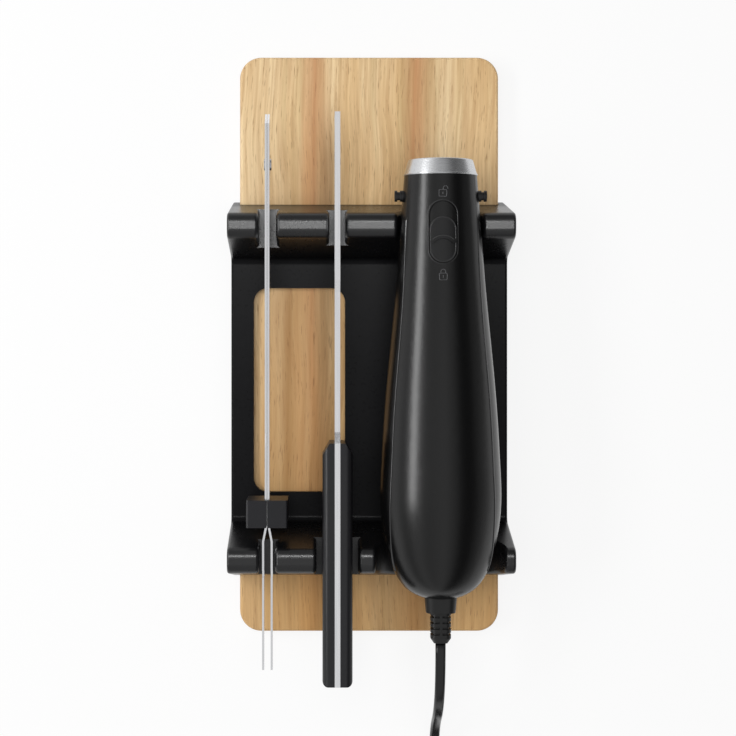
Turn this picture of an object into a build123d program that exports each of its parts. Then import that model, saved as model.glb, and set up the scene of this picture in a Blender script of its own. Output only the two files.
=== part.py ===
from build123d import *
from math import cos, degrees, dist, pi, radians, sin, sqrt, tan
import os

# Electric carving knife stored with its blades and fork in a tray that straddles a cutting board.
# Millimetres. X runs across the board, Y along it towards the knife's nose, Z up from the table.

# Clearances
running = 0.04
fit = 0.02
gap = 0.3
overrun = 6.0

# Cutting board
board_width = 158.0
board_length = 351.0
board_thickness = 13.0
board_corner = 13.0
board_edge = 1.6
board_forward = 27.75

# Storage tray
tray_length = 231.0
tray_side = 4.5
tray_wall = 2.8
tray_floor = 3.4
board_clearance = 0.6
rail_height = 62.0
rail_base = 36.0
rail_crest = 13.5
rail_lean = 11.0
rail_round = 6.0
rail_foot_round = 4.0
mouth_round = 2.2
corner_round = 1.5
window_width = 55.6
window_length = 124.0
window_round = 8.5
window_x = -42.6
foot_pad_length = 18.0
foot_pad_depth = 1.6
foot_pad_rise = 1.0
blade_slot_width = 10.4
tang_slot_width = 9.2
fork_slot_width = 9.3
fork_handle_slot_width = 24.6
nose_cradle_width = 50.0
tail_cradle_width = 75.0

# Reciprocating blades, stood on edge
blades_x = -60.7
blade_tip_y = 163.0
blade_length = 225.0
blade_height = 19.0
blade_thickness = 1.25
blade_split = 0.2
blade_belly_z = 41.0
blade_taper_length = 58.0
blade_tip_height = 6.0
tooth_pitch = 5.0
tooth_depth = 1.1
rivet_radius = 2.2
rivet_head_radius = 3.4
rivet_head = 0.8
rivet_from_tip = 29.0
stroke = 4.0
hub_width = 24.0
hub_length = 16.0
hub_height = 25.0
hub_split = 0.7
hub_round = 1.2
tang_length = 84.0
tang_height = 9.0
tang_thickness = 1.2
tang_spread = 5.0
tang_bend_length = 9.0
tang_notch_from_end = 56.0
tang_notch_width = 4.0
tang_notch_depth = 2.2

# Carving fork, stood on edge
fork_x = -19.8
fork_tip_y = 163.0
fork_length = 332.0
fork_z = 56.0
fork_steel_thickness = 3.2
fork_handle_length = 140.5
fork_handle_width = 17.4
fork_handle_height = 26.0
fork_shoulder_length = 7.0
fork_shoulder_width = 9.2
fork_scale_round = 4.0
fork_end_round = 3.2
fork_shank_height = 12.0
tine_length = 92.0
tine_spread = 21.0
tine_height = 5.2
tine_tip_height = 1.4
fork_rivet_radius = 2.4
fork_rivet_count = 3

# Knife handle
knife_x = 40.0
knife_z = 62.0
knife_nose_y = 135.4
handle_length = 254.6
handle_width = 70.2
handle_height = 58.0
shell_wall = 2.4
seam_gap = 0.3
cap_front_width = 37.4
cap_overhang = 0.25
cap_wall = 2.0
cap_spigot = 4.0
socket_width = 14.0
socket_height = 22.0

# Places along the handle are measured back from the nose
handle_outline_shares = (
    (0.0365, 0.601), (0.15, 0.665), (0.31, 0.757), (0.46, 0.862), (0.60, 0.945),
    (0.70, 0.985), (0.775, 1.0), (0.865, 0.926), (0.93, 0.79), (0.975, 0.57),
)
seam_shares = ((0.0, 0.24), (0.36, 0.44), (0.66, 0.53), (0.82, 0.49), (0.93, 0.24), (1.0, 0.02))
cover_screw_places = ((60.0, 11.0), (183.0, 20.0))
boss_radius = 3.2
case_screw_radius = 1.5
case_screw_head_radius = 2.7
case_screw_head = 1.8
case_screw_short = 1.6

# Lock slide on top of the handle
recess_from_nose = 24.9
recess_length = 35.5
recess_width = 16.0
recess_depth = 1.1
slider_length = 26.3
slider_side_gap = 0.3
slider_rise = 0.9
slider_ridge_rise = 2.0
slider_ridge_width = 2.2
slider_ridge_radius = 9.4
slider_ridge_share = 0.4
slider_stem_width = 4.0
slider_stem_length = 7.0
slider_plate_width = 12.0
slider_plate_length = 13.0
slider_plate_thickness = 1.2

# Blade release buttons
button_from_nose = 21.0
button_radius = 3.25
button_proud = 4.7
button_groove = 0.8
button_groove_width = 1.6
button_flange_radius = 4.6
button_flange = 1.4
button_stem_radius = 2.2
button_reach = 10.0
button_seat = 1.6
button_travel = 2.5
button_spring_wire = 0.5
button_spring_turns = 5

# Trigger under the handle
trigger_from_nose = 66.6
trigger_length = 43.6
trigger_width = 12.0
trigger_top = 19.2
trigger_drop = 28.0
trigger_gap = 0.5
trigger_pivot_from_nose = 70.6
trigger_pivot_drop = 17.4
trigger_boss_radius = 3.0
trigger_pin_radius = 1.25
trigger_lip = 3.2
trigger_lip_thickness = 1.3
lug_thickness = 2.6
trigger_spring_from_nose = 100.0
trigger_spring_radius = 2.2
trigger_spring_wire = 0.5
trigger_spring_turns = 6
trigger_pocket_depth = 5.0
switch_from_nose = 77.0
switch_length = 13.0
switch_width = 6.0
switch_height = 5.4
switch_plunger = 0.8
switch_tongue = 1.4
switch_tongue_width = 10.0
trigger_nub = 1.2
switch_plunger_radius = 1.2

# Blade carriers and their guide
carrier_from_nose = 10.4
carrier_length = 75.6
carrier_inner = 0.4
carrier_outer = 6.4
carrier_height = 16.0
tang_slot_gap = 0.25
arm_inner = 5.6
arm_thickness = 2.0
arm_from_nose = 70.0
arm_drop = 4.6
guide_from_nose = 17.0
guide_length = 32.0
guide_gap = 0.15
guide_wall = 3.0
latch_thickness = 0.5
latch_height = 6.0
latch_length = 16.0

# Worm drive
drive_module = 1.0
worm_starts = 2
gear_teeth = 20
worm_pitch_radius = 4.0
worm_length = 14.0
gear_face = 6.0
gear_from_nose = 104.0
tooth_slack = 0.34
pressure_angle = 20.0
cam_radius = 6.2
cam_throw = 4.0
cam_length = 2.2
axle_radius = 1.2
fork_slack = 0.1
fork_plate_margin = 2.3

# Motor
shaft_drop = 6.0
shaft_radius = 2.5
motor_from_nose = 142.0
stack_length = 26.0
stator_width = 36.0
stator_height = 30.0
stator_round = 8.0
stator_yoke = 3.5
pole_shoe = 2.4
pole_half = 6.5
armature_radius = 9.5
air_gap = 0.5
coil_gap = 0.2
coil_overhang = 5.0
coil_round = 2.0
armature_slots = 12
armature_slot_width = 1.6
armature_slot_depth = 3.0
winding_length = 6.0
winding_radius = 8.0
commutator_from_nose = 190.0
commutator_length = 11.0
commutator_radius = 6.0
commutator_bars = 12
commutator_cut = 0.6
fan_from_nose = 123.0
fan_radius = 14.0
fan_length = 6.0
fan_disc = 1.2
fan_blades = 10
fan_blade_thickness = 1.2
fan_hub_radius = 5.0

# Chassis, bushes and brushes
bush_radius = 4.0
bush_length = 4.0
bush_housing = 1.2
chassis_from_nose = 91.5
chassis_length = 28.5
chassis_half_width = 10.6
chassis_plate = 2.0
chassis_drop = 15.0
chassis_rise = 15.0
rear_bracket_from_nose = 207.0
rear_bracket_thickness = 3.0
rear_bracket_width = 46.0
rear_bracket_height = 26.0
brush_section = 5.0
brush_length = 9.0
brush_holder_wall = 1.1
brush_arm = 2.4

# Saddles moulded in the lower shell
saddle_thickness = 2.4
guide_saddles = (33.0, 45.0)
chassis_saddles = (96.0, 117.0)
stator_saddles = (146.0, 164.0)
saddle_top = 4.0

# Circuit board and wiring
board_post_radius = 2.4
circuit_from_nose = 219.0
circuit_length = 20.0
circuit_width = 26.0
circuit_thickness = 1.6
circuit_drop = 12.0
circuit_post_x = 9.0
capacitor_radius = 4.5
capacitor_length = 15.0
diode_side = 4.0
diode_count = 4
wire_radius = 0.9
wire_bend = 2.4
wire_switch_x = 14.0
wire_side_x = 24.6
wire_height = 6.5
wire_board_x = 11.0
core_spacing = 3.2
clamp_from_nose = 240.0
clamp_length = 6.0
clamp_width = 20.0
clamp_screw_x = 7.5
clamp_thickness = 2.6
clamp_screw_radius = 1.25
clamp_screw_head_radius = 2.3
clamp_screw_length = 9.0

# Strain relief and cord
collar_from_nose = 252.6
collar_length = 9.4
collar_width = 18.8
collar_end_width = 17.0
collar_height = 15.0
neck_radius = 6.5
neck_flange_radius = 8.0
neck_flange = 2.0
neck_flange_from_nose = 248.5
sleeve_length = 15.0
sleeve_width = 11.9
sleeve_height = 9.0
sleeve_tip_length = 3.0
sleeve_tip_width = 8.0
sleeve_tip_height = 5.0
sleeve_rows = 4
sleeve_groove = 1.3
sleeve_groove_depth = 1.4
sleeve_spine = 1.6
cord_width = 6.0
cord_thickness = 3.2
core_radius = 1.0
cord_turn_share = 0.45

# Route of the cord's free stretch, from the strain relief to the coil on the table
cord_points = (
    (40.0, -144.6, 62.0), (40.0, -165.2, 62.0), (40.0, -189.0, 46.0), (40.0, -204.0, 17.0),
    (40.0, -231.5, 1.6), (40.0, -262.0, 1.6),
)
coil_outer_radius = 44.0
coil_pitch = 8.0
coil_turns = 5
coil_ease = 0.1
coil_steps_per_turn = 4
coil_samples_per_turn = 64
coil_climb_turns = 0.4
coil_lead = 26.0

# Plug at the cord's far end
plug_length = 30.0
plug_width = 22.0
plug_height = 12.0
plug_neck_length = 8.0
plug_neck_width = 10.0
plug_neck_height = 7.0
plug_round = 2.5
prong_length = 16.0
prong_width = 6.3
prong_thickness = 1.5
prong_spacing = 12.7
prong_seat = 5.0
prong_hole_radius = 1.6


def block(x, y, z):
    """A box between its low and high faces on each axis."""
    sides = (x, y, z)
    centre = [(low + high) / 2 for low, high in sides]
    return Pos(*centre) * Box(*[abs(high - low) for low, high in sides])


def rod_x(radius, low, high, y=0, z=0):
    """A cylinder along X."""
    return Pos((low + high) / 2, y, z) * Rot(0, 90, 0) * Cylinder(radius, high - low)


def rod_y(radius, low, high, x=0, z=0):
    """A cylinder along Y."""
    return Pos(x, (low + high) / 2, z) * Rot(90, 0, 0) * Cylinder(radius, high - low)


def rod_z(radius, low, high, x=0, y=0):
    """A cylinder along Z."""
    return Pos(x, y, (low + high) / 2) * Cylinder(radius, high - low)


def prism_x(face, low, high):
    """A flat shape drawn in Y and Z, run along X."""
    return extrude(Plane.YZ.offset(low) * face, high - low, dir=(1, 0, 0))


def prism_y(face, low, high):
    """A flat shape drawn in X and Z, run along Y."""
    return extrude(Pos(0, low, 0) * (Plane.XZ * face), high - low, dir=(0, 1, 0))


def prism_z(face, low, high):
    """A flat shape drawn in X and Y, run along Z."""
    return extrude(Pos(0, 0, low) * face, high - low, dir=(0, 0, 1))


def outline(*points):
    """A polygon through absolute points."""
    return Polygon(*points, align=None)


def keep(name, *shapes, place=Location()):
    """Writes one node, as a group where it has several solids."""
    solids = [solid for shape in shapes for solid in (place * shape).solids()]
    export_step(solids[0] if len(solids) == 1 else Compound(children=solids), f"parts/{name}.step")
    print(name, len(solids), round(sum(solid.volume for solid in solids)))


def spring(radius, wire, turns, low, high):
    """A compression spring along Z with its wire's centre at the given radius."""
    pitch = (high - low - 2 * wire) / turns
    path = Helix(pitch, pitch * turns, radius, center=(0, 0, low + wire))
    section = Plane(origin=path @ 0, z_dir=path % 0) * Circle(wire / 2)
    return sweep(section, path=path, is_frenet=True)


os.makedirs("parts", exist_ok=True)

# Cutting board
board_back = board_forward - board_length / 2
board_front = board_forward + board_length / 2
board_face = Pos(0, board_forward) * RectangleRounded(board_width, board_length, board_corner)
board = prism_z(board_face, 0, board_thickness)
board = fillet(board.faces().sort_by(Axis.Z)[-1].edges() + board.faces().sort_by(Axis.Z)[0].edges(),
               board_edge)
keep("cutting_board", board)

# Heights and widths that the tray takes from what it holds
tray_half_width = board_width / 2 + board_clearance + tray_side
floor_under = board_thickness + board_clearance
floor_top = floor_under + tray_floor
rail_foot = tray_length / 2
rail_inner = rail_foot - rail_base
crest_outer = rail_foot - rail_lean
crest_inner = crest_outer - rail_crest
blade_centre_z = blade_belly_z + blade_height / 2
hub_low = blade_centre_z - hub_height / 2
tang_low = blade_centre_z - tang_height / 2
fork_low = fork_z - fork_handle_height / 2
tine_low = fork_z - tine_spread / 2
slim = handle_height / handle_width


def half_width(from_nose):
    """Half the handle's width at a distance from the nose, along straight lines between its stations."""
    stations = [(a * handle_length, b * handle_width / 2) for a, b in handle_outline_shares]
    stations.append((handle_length, 0))
    for (d0, w0), (d1, w1) in zip(stations, stations[1:]):
        if d0 <= from_nose <= d1:
            return w0 + (w1 - w0) * (from_nose - d0) / (d1 - d0)
    return stations[0][1]


tail_rail_from_nose = knife_nose_y + rail_inner
nose_cradle_depth = slim * half_width(knife_nose_y - rail_inner) + gap
tail_cradle_depth = slim * half_width(tail_rail_from_nose) + gap

# Rail channels: name, side of the tray, low and high X, floor Z
channels = (
    (1, blades_x, blade_slot_width, blade_belly_z - gap),
    (1, fork_x, fork_slot_width, tine_low - gap),
    (-1, blades_x, tang_slot_width, tang_low - gap),
    (-1, fork_x, fork_handle_slot_width, fork_low - gap),
)
cradles = ((1, nose_cradle_width, nose_cradle_depth), (-1, tail_cradle_width, tail_cradle_depth))


def channel_cutters(grow):
    """The slots and cradles that the rails leave for what they hold, grown by a wall."""
    cutters = []
    top = rail_height + overrun
    for side, x, width, low in channels:
        near, far = sorted((side * (rail_inner - overrun), side * (rail_foot + overrun)))
        half = width / 2 + grow
        cutters.append(block((x - half, x + half), (near, far), (low - grow, top)))
    for side, width, depth in cradles:
        near, far = sorted((side * (rail_inner - overrun), side * (rail_foot + overrun)))
        half = width / 2 + grow
        bowl = Pos(knife_x, knife_z) * Ellipse(half, depth + grow)
        open_top = Pos(knife_x, knife_z + overrun) * Rectangle(2 * half, 2 * overrun)
        cutters.append(prism_y(bowl + open_top, near, far))
    return cutters


# Storage tray: two hollow rails joined by a floor, over the board
half_profile = [(rail_foot, 0), (crest_outer, rail_height), (crest_inner, rail_height),
                (rail_inner, floor_top)]
profile = outline(*half_profile, *[(-y, z) for y, z in reversed(half_profile)])
crest_points = profile.vertices().group_by(Axis.Y)[-1]
profile = fillet(crest_points, rail_round)
foot_points = [v for v in profile.vertices() if abs(abs(v.X) - rail_inner) < fit]
profile = fillet(foot_points, rail_foot_round)
tray = prism_x(profile, -tray_half_width, tray_half_width)
for cutter in channel_cutters(0):
    tray -= cutter
mouths = []
for side, x, width, low in channels:
    for edge_x in (x - width / 2, x + width / 2):
        for edge in tray.edges():
            box = edge.bounding_box()
            on_side = abs(box.min.X - edge_x) < fit and abs(box.max.X - edge_x) < fit
            right_rail = side * edge.center().Y > 0
            if on_side and right_rail and box.max.Z > low + fit:
                mouths.append(edge)
tray = fillet(mouths, mouth_round)
lips = []
for side, width, depth in cradles:
    for edge in tray.edges():
        box = edge.bounding_box()
        right_rail = side * edge.center().Y > 0
        inside = knife_x - width / 2 - gap < box.min.X and box.max.X < knife_x + width / 2 + gap
        if right_rail and inside and box.max.Z > floor_top + overrun:
            lips.append(edge)
tray = fillet(lips, mouth_round)
for turn_x in (-tray_half_width, tray_half_width):
    ends = [e for e in tray.edges() if abs(e.bounding_box().min.X - turn_x) < fit
            and abs(e.bounding_box().max.X - turn_x) < fit and e.center().Z > floor_under]
    tray = fillet(ends, corner_round)

# The rails' hollow, the board's channel below and the window over the board
hollow_half = board_width / 2 + board_clearance
rail_face = outline(*half_profile, (rail_inner, 0))
rail_face = fillet(rail_face.vertices().group_by(Axis.Y)[-1], rail_round)
hollow_face = offset(rail_face, -tray_wall)
hollow = prism_x(hollow_face, -hollow_half, hollow_half)
hollow += mirror(hollow, Plane.XZ)
for cutter in channel_cutters(tray_wall):
    hollow -= cutter
tray -= hollow
tray -= block((-hollow_half, hollow_half), (-rail_foot - overrun, rail_foot + overrun),
              (-overrun, floor_under))
window = Pos(window_x, 0) * RectangleRounded(window_width, window_length, window_round)
tray -= prism_z(window, floor_under - overrun, floor_top + overrun)
pad_x = hollow_half + tray_side / 2
pads = []
for x in (-pad_x, pad_x):
    for y in (-rail_inner, rail_inner):
        half = foot_pad_length / 2
        width = foot_pad_depth
        pads.append(block((x - width, x + width), (y - half, y + half), (0, foot_pad_rise)))
        tray -= block((x - width, x + width), (y - half, y + half), (-overrun, foot_pad_rise))
keep("tray_deck", tray)
keep("tray_feet", *pads)

# Blade pair in its own frame: Y measured from the hub's front face, Z from the hub's centre
blade_place = Pos(blades_x, blade_tip_y - blade_length, blade_centre_z)
belly = -blade_height / 2
spine = blade_height / 2
shoulder_y = blade_length - blade_taper_length
rivet_y = blade_length - rivet_from_tip
rivet_z = belly + blade_tip_height / 2 + (spine - belly) / 4


def blade_side(side):
    """One blade with its bent tang, on the given side of the pair."""
    inner = side * blade_split / 2
    outer = side * (blade_split / 2 + blade_thickness)
    faces = sorted((inner, outer))
    edge = [(0, belly), (shoulder_y, belly)]
    tip = [(blade_length, spine - blade_tip_height), (blade_length - blade_tip_height, spine), (0, spine)]
    blade = prism_x(outline(*edge, (blade_length - blade_tip_height, belly + blade_tip_height), *tip),
                    *faces)
    teeth = int((shoulder_y - hub_length) / tooth_pitch)
    for tooth in range(teeth):
        y = hub_length + tooth_pitch * (tooth + 1 / 2) - (0 if side < 0 else tooth_pitch / 2)
        scallop = [(y - tooth_pitch / 2, belly), (y, belly + tooth_depth), (y + tooth_pitch / 2, belly)]
        scallop += [(y, belly - tooth_depth)]
        blade -= prism_x(outline(*scallop), faces[0] - overrun, faces[1] + overrun)
    near = side * blade_split / 2
    far = side * (blade_split / 2 + blade_thickness)
    out_near = side * (tang_spread / 2 - tang_thickness / 2)
    out_far = side * (tang_spread / 2 + tang_thickness / 2)
    bend = -hub_length - tang_bend_length
    end = -hub_length - tang_length
    plan = [(near, 0), (near, -hub_length), (out_near, bend), (out_near, end)]
    plan += [(out_far, end), (out_far, bend), (far, -hub_length), (far, 0)]
    tang = prism_z(outline(*plan), -tang_height / 2, tang_height / 2)
    notch_y = end + tang_notch_from_end
    for z in (-tang_height / 2, tang_height / 2):
        half = tang_notch_width / 2
        deep = tang_notch_depth
        tang -= block((-overrun, overrun), (notch_y - half, notch_y + half), (z - deep, z + deep))
    return blade + tang


def hub_side(side, blade):
    """Half of the moulded hub around one blade."""
    inner = hub_split / 2
    faces = sorted((side * inner, side * hub_width / 2))
    half = block(faces, (-hub_length, 0), (-hub_height / 2, hub_height / 2))
    outer_edges = half.edges().filter_by(Axis.Y).group_by(Axis.X)[0 if side < 0 else -1]
    half = fillet(outer_edges, hub_round)
    return half - blade


left_blade = blade_side(-1)
right_blade = blade_side(1)
slot_half = rivet_radius + running
right_slot = block((0, overrun), (rivet_y - stroke, rivet_y + stroke),
                   (rivet_z - slot_half, rivet_z + slot_half))
for y in (rivet_y - stroke, rivet_y + stroke):
    right_slot += rod_x(slot_half, 0, overrun, y, rivet_z)
right_blade -= right_slot
left_blade -= rod_x(rivet_radius + fit, -overrun, 0, rivet_y, rivet_z)
blade_face = blade_split / 2 + blade_thickness
rivet = rod_x(rivet_radius, -blade_face, blade_face + running, rivet_y, rivet_z)
rivet += rod_x(rivet_head_radius, -blade_face - rivet_head, -blade_face, rivet_y, rivet_z)
rivet += rod_x(rivet_head_radius, blade_face + running, blade_face + running + rivet_head, rivet_y, rivet_z)
keep("left_blade", left_blade, place=blade_place)
keep("right_blade", right_blade, place=blade_place)
keep("left_blade_hub", hub_side(-1, left_blade), place=blade_place)
keep("right_blade_hub", hub_side(1, right_blade), place=blade_place)
keep("blade_rivet", rivet, place=blade_place)

# Fork in its own frame: Y measured back from the tips, Z from the middle of the tines
fork_place = Pos(fork_x, fork_tip_y, fork_z)
handle_start = fork_handle_length - fork_length
tang_half = fork_handle_height / 2
shank_half = fork_shank_height / 2
spread_half = tine_spread / 2
gullet = -tine_length
side_points = [(0, spread_half), (-tine_length / 2, spread_half), (gullet - tine_height, spread_half)]
side_points += [(gullet - 2 * shank_half, shank_half), (handle_start + shank_half, shank_half)]
side_points += [(handle_start, tang_half), (-fork_length, tang_half)]
fork = prism_x(outline(*side_points, *[(y, -z) for y, z in reversed(side_points)]),
               -fork_steel_thickness / 2, fork_steel_thickness / 2)
between = [(overrun, spread_half - tine_tip_height), (0, spread_half - tine_tip_height)]
between += [(-tine_length / 2, spread_half - tine_height), (gullet, spread_half - tine_height)]
fork -= prism_x(outline(*between, *[(y, -z) for y, z in reversed(between)]),
                -fork_steel_thickness, fork_steel_thickness)
scale_half = fork_handle_width / 2
end_plan = outline((-scale_half, handle_start), (scale_half, handle_start),
                   (scale_half, -fork_length), (-scale_half, -fork_length))
end_plan = fillet(end_plan.vertices().group_by(Axis.Y)[0], fork_end_round)
rounded_end = prism_z(end_plan, -fork_handle_height, fork_handle_height)
scales = []
for side in (-1, 1):
    inner = side * fork_steel_thickness / 2
    full = side * scale_half
    slim_side = side * fork_shoulder_width / 2
    plan = [(inner, handle_start), (slim_side, handle_start), (full, handle_start - fork_shoulder_length)]
    plan += [(full, -fork_length), (inner, -fork_length)]
    half = fork_handle_height / 2
    scale_solid = prism_z(outline(*plan), -half, half)
    outer_edges = scale_solid.edges().filter_by(Axis.Y).group_by(Axis.X)[0 if side < 0 else -1]
    scales.append(fillet(outer_edges, fork_scale_round) & rounded_end)
pins = []
for pin in range(fork_rivet_count):
    share = (pin + 1 / 2) / fork_rivet_count
    y = handle_start - fork_handle_length * share
    half = scale_half - rivet_head / 2
    pins.append(rod_x(fork_rivet_radius, -half, half, y))
    hole = rod_x(fork_rivet_radius + fit, -overrun - half, overrun + half, y)
    fork -= hole
    scales = [scale_solid - hole for scale_solid in scales]
keep("fork_steel", fork, place=fork_place)
keep("fork_scale_left", scales[0], place=fork_place)
keep("fork_scale_right", scales[1], place=fork_place)
keep("fork_rivets", *pins, place=fork_place)

# Knife in its own frame: Y measured back from the nose, X and Z from the handle's axis
knife_place = Pos(knife_x, knife_nose_y, knife_z)
handle_half = handle_width / 2
shell_half_height = handle_height / 2


def handle_solid(inset=0.0):
    """The handle's swollen body, inset from its outer skin; a negative inset stands proud of it."""
    widest = max(handle_outline_shares, key=lambda station: station[1])[0] * handle_length
    points = []
    for length_share, width_share in handle_outline_shares:
        back = length_share * handle_length
        half = width_share * handle_half
        if back <= widest:
            points.append((half - inset, -back))
        else:
            tail = (handle_length - inset - widest) / (handle_length - widest)
            points.append((half * (1 - inset / handle_half), -widest - (back - widest) * tail))
    points.append((0, inset - handle_length))
    lean = (points[1][0] - points[0][0], points[1][1] - points[0][1])
    side = Spline(*points, tangents=(lean, (-1, 0)))
    front = Line((0, points[0][1]), points[0])
    axis = Line((0, inset - handle_length), (0, points[0][1]))
    body = revolve(make_face([front, side, axis]), Axis.Y)
    return scale(body, by=(1, 1, slim))


def seam_region(rise):
    """All that lies above the seam between the lower shell and the cover."""
    points = [(-a * handle_length, b * shell_half_height + rise) for a, b in seam_shares]
    line = Spline(*points)
    top = 2 * shell_half_height
    walls = Polyline(points[-1], (points[-1][0], top), (0, top), points[0])
    return prism_x(make_face([line, walls]), -handle_width, handle_width)


outer = handle_solid()
inner = handle_solid(shell_wall)
above_shell = seam_region(0)
above_seam = seam_region(seam_gap)
skin = outer - inner

# Tail recess and neck hole for the strain relief, and the flange's seat behind them
tail_recess = prism_y(RectangleRounded(collar_width + gap, collar_height + gap, collar_height / 3),
                      -collar_from_nose - collar_length, -collar_from_nose)
neck_hole = rod_y(neck_radius + fit, -handle_length - overrun, -collar_from_nose + overrun)
skin -= tail_recess
skin -= neck_hole

# Screw posts between the two shells
posts = [rod_z(boss_radius, -handle_half, handle_half, side * x, -back)
         for back, x in cover_screw_places for side in (-1, 1)]
screws = []
screw_cuts = []
for back, x in cover_screw_places:
    inner_share = 1 - (x / (half_width(back) - shell_wall)) ** 2
    low = -slim * (half_width(back) - shell_wall) * sqrt(inner_share)
    for side in (-1, 1):
        head_face = low + case_screw_head
        screws.append(rod_z(case_screw_head_radius, head_face - case_screw_head, head_face, side * x, -back)
                      + rod_z(case_screw_radius, head_face, -low - case_screw_short, side * x, -back))
        screw_cuts.append(rod_z(case_screw_head_radius + running, -handle_half, head_face, side * x, -back))
        screw_cuts.append(rod_z(case_screw_radius + fit, head_face, -low - case_screw_short + gap, side * x,
                                -back))
keep("case_screws", *screws, place=knife_place)
lower_inside = list(posts)
lower_cuts = screw_cuts + [above_shell]

# Nose cap
cap_length = handle_outline_shares[0][0] * handle_length
cap_base_half = handle_outline_shares[0][1] * handle_half
cap_front_half = cap_front_width / 2
spigot = cap_base_half - shell_wall - fit
bore = spigot - cap_wall
cap_profile = outline((0, 0), (cap_front_half, 0), (cap_base_half + cap_overhang, -cap_length),
                      (spigot, -cap_length),
                      (spigot, -cap_length - cap_spigot), (bore, -cap_length - cap_spigot),
                      (cap_front_half - cap_wall, -cap_wall), (0, -cap_wall))
cap_profile = fillet(cap_profile.vertices().sort_by_distance((cap_front_half, 0))[0], cap_wall / 2)
nose_cap = scale(revolve(cap_profile, Axis.Y), by=(1, 1, slim))
socket_half = socket_width / 2
nose_cap -= block((-socket_half, socket_half), (-cap_wall - overrun, overrun),
                  (-socket_height / 2, socket_height / 2))
keep("nose_cap", nose_cap, place=knife_place)


def proud(height):
    """The handle's body grown by a height measured on its crown."""
    return handle_solid(-height / slim)


def sunk(depth):
    """The handle's body shrunk by a depth measured on its crown."""
    return handle_solid(depth / slim)


# Lock slide in its recess, with its stem through the cover and the plate that holds it
recess_middle = recess_from_nose + recess_length / 2
recess_face = Pos(0, -recess_middle) * SlotOverall(recess_length, recess_width, rotation=90)
recess_prism = prism_z(recess_face, 0, handle_half)
upper_cuts = screw_cuts + [recess_prism - sunk(recess_depth)]
slider_middle = recess_from_nose + recess_length - slider_side_gap - slider_length / 2
slider_travel = recess_length - slider_length - 2 * slider_side_gap
slider_width = recess_width - 2 * slider_side_gap
slider_face = Pos(0, -slider_middle) * SlotOverall(slider_length, slider_width, rotation=90)
slider_bottom = sunk(recess_depth - gap)
slider_prism = prism_z(slider_face, 0, handle_half)
slider = slider_prism & (proud(slider_rise) - slider_bottom)
ridge_y = -(slider_middle - slider_length / 2 + slider_ridge_share * slider_length)
ridge_ring = Circle(slider_ridge_radius) - Circle(slider_ridge_radius - slider_ridge_width)
ridge_ring = Pos(0, ridge_y - slider_ridge_radius) * ridge_ring
ridge_front = Pos(0, ridge_y) * Rectangle(slider_width, slider_ridge_radius)
ridge = prism_z(ridge_ring & ridge_front & slider_face, 0, handle_half)
slider += ridge & (proud(slider_ridge_rise) - outer)
plate_top = handle_solid(shell_wall + gap / slim)
plate_bottom = handle_solid(shell_wall + (gap + slider_plate_thickness) / slim)
stem_half = slider_stem_length / 2
stem = block((-slider_stem_width / 2, slider_stem_width / 2),
             (-slider_middle - stem_half, -slider_middle + stem_half), (0, handle_half))
slider += stem & (slider_bottom - handle_solid(shell_wall + gap / slim - fit))
plate_half = slider_plate_length / 2
plate = block((-slider_plate_width / 2, slider_plate_width / 2),
              (-slider_middle - plate_half, -slider_middle + plate_half), (0, handle_half))
slot_half_width = slider_stem_width / 2 + gap
upper_cuts.append(block((-slot_half_width, slot_half_width),
                        (-slider_middle - stem_half - gap,
                         -slider_middle + stem_half + slider_travel + gap),
                        (0, handle_half)))
keep("lock_slider", slider, place=knife_place)
keep("lock_slider_plate", plate & (plate_top - plate_bottom), place=knife_place)

# Release buttons, their springs and the holes that they pass through
button_y = -button_from_nose
button_end = half_width(button_from_nose) + button_proud
flange_face = half_width(button_from_nose) - shell_wall - button_seat
guide_half = carrier_outer + guide_gap + guide_wall
side_words = ((-1, "left"), (1, "right"))
for side, word in side_words:
    ends = sorted((side * flange_face, side * button_end))
    button = rod_x(button_radius, *ends, button_y)
    groove_middle = side * (button_end - button_proud / 2)
    groove = rod_x(button_radius + overrun, groove_middle - button_groove_width / 2,
                   groove_middle + button_groove_width / 2, button_y)
    groove -= rod_x(button_radius - button_groove, -handle_width, handle_width, button_y)
    button -= groove
    button += rod_x(button_flange_radius, *sorted((side * flange_face,
                                                   side * (flange_face - button_flange))), button_y)
    button += rod_x(button_stem_radius, *sorted((side * flange_face, side * button_reach)), button_y)
    keep(f"release_button_{word}", button, place=knife_place)
    hole = rod_x(button_radius + gap / 2, *sorted((0, side * handle_width)), button_y)
    lower_cuts.append(hole)
    upper_cuts.append(hole)
    coil_low = guide_half + gap / 3
    coil_high = flange_face - button_flange - gap / 3
    coil_spring = spring(button_stem_radius + 2 * button_spring_wire, button_spring_wire,
                         button_spring_turns,
                         coil_low, coil_high)
    coil_spring = Pos(0, button_y, 0) * Rot(0, 90 * side, 0) * coil_spring
    keep(f"release_spring_{word}", coil_spring, place=knife_place)

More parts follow.
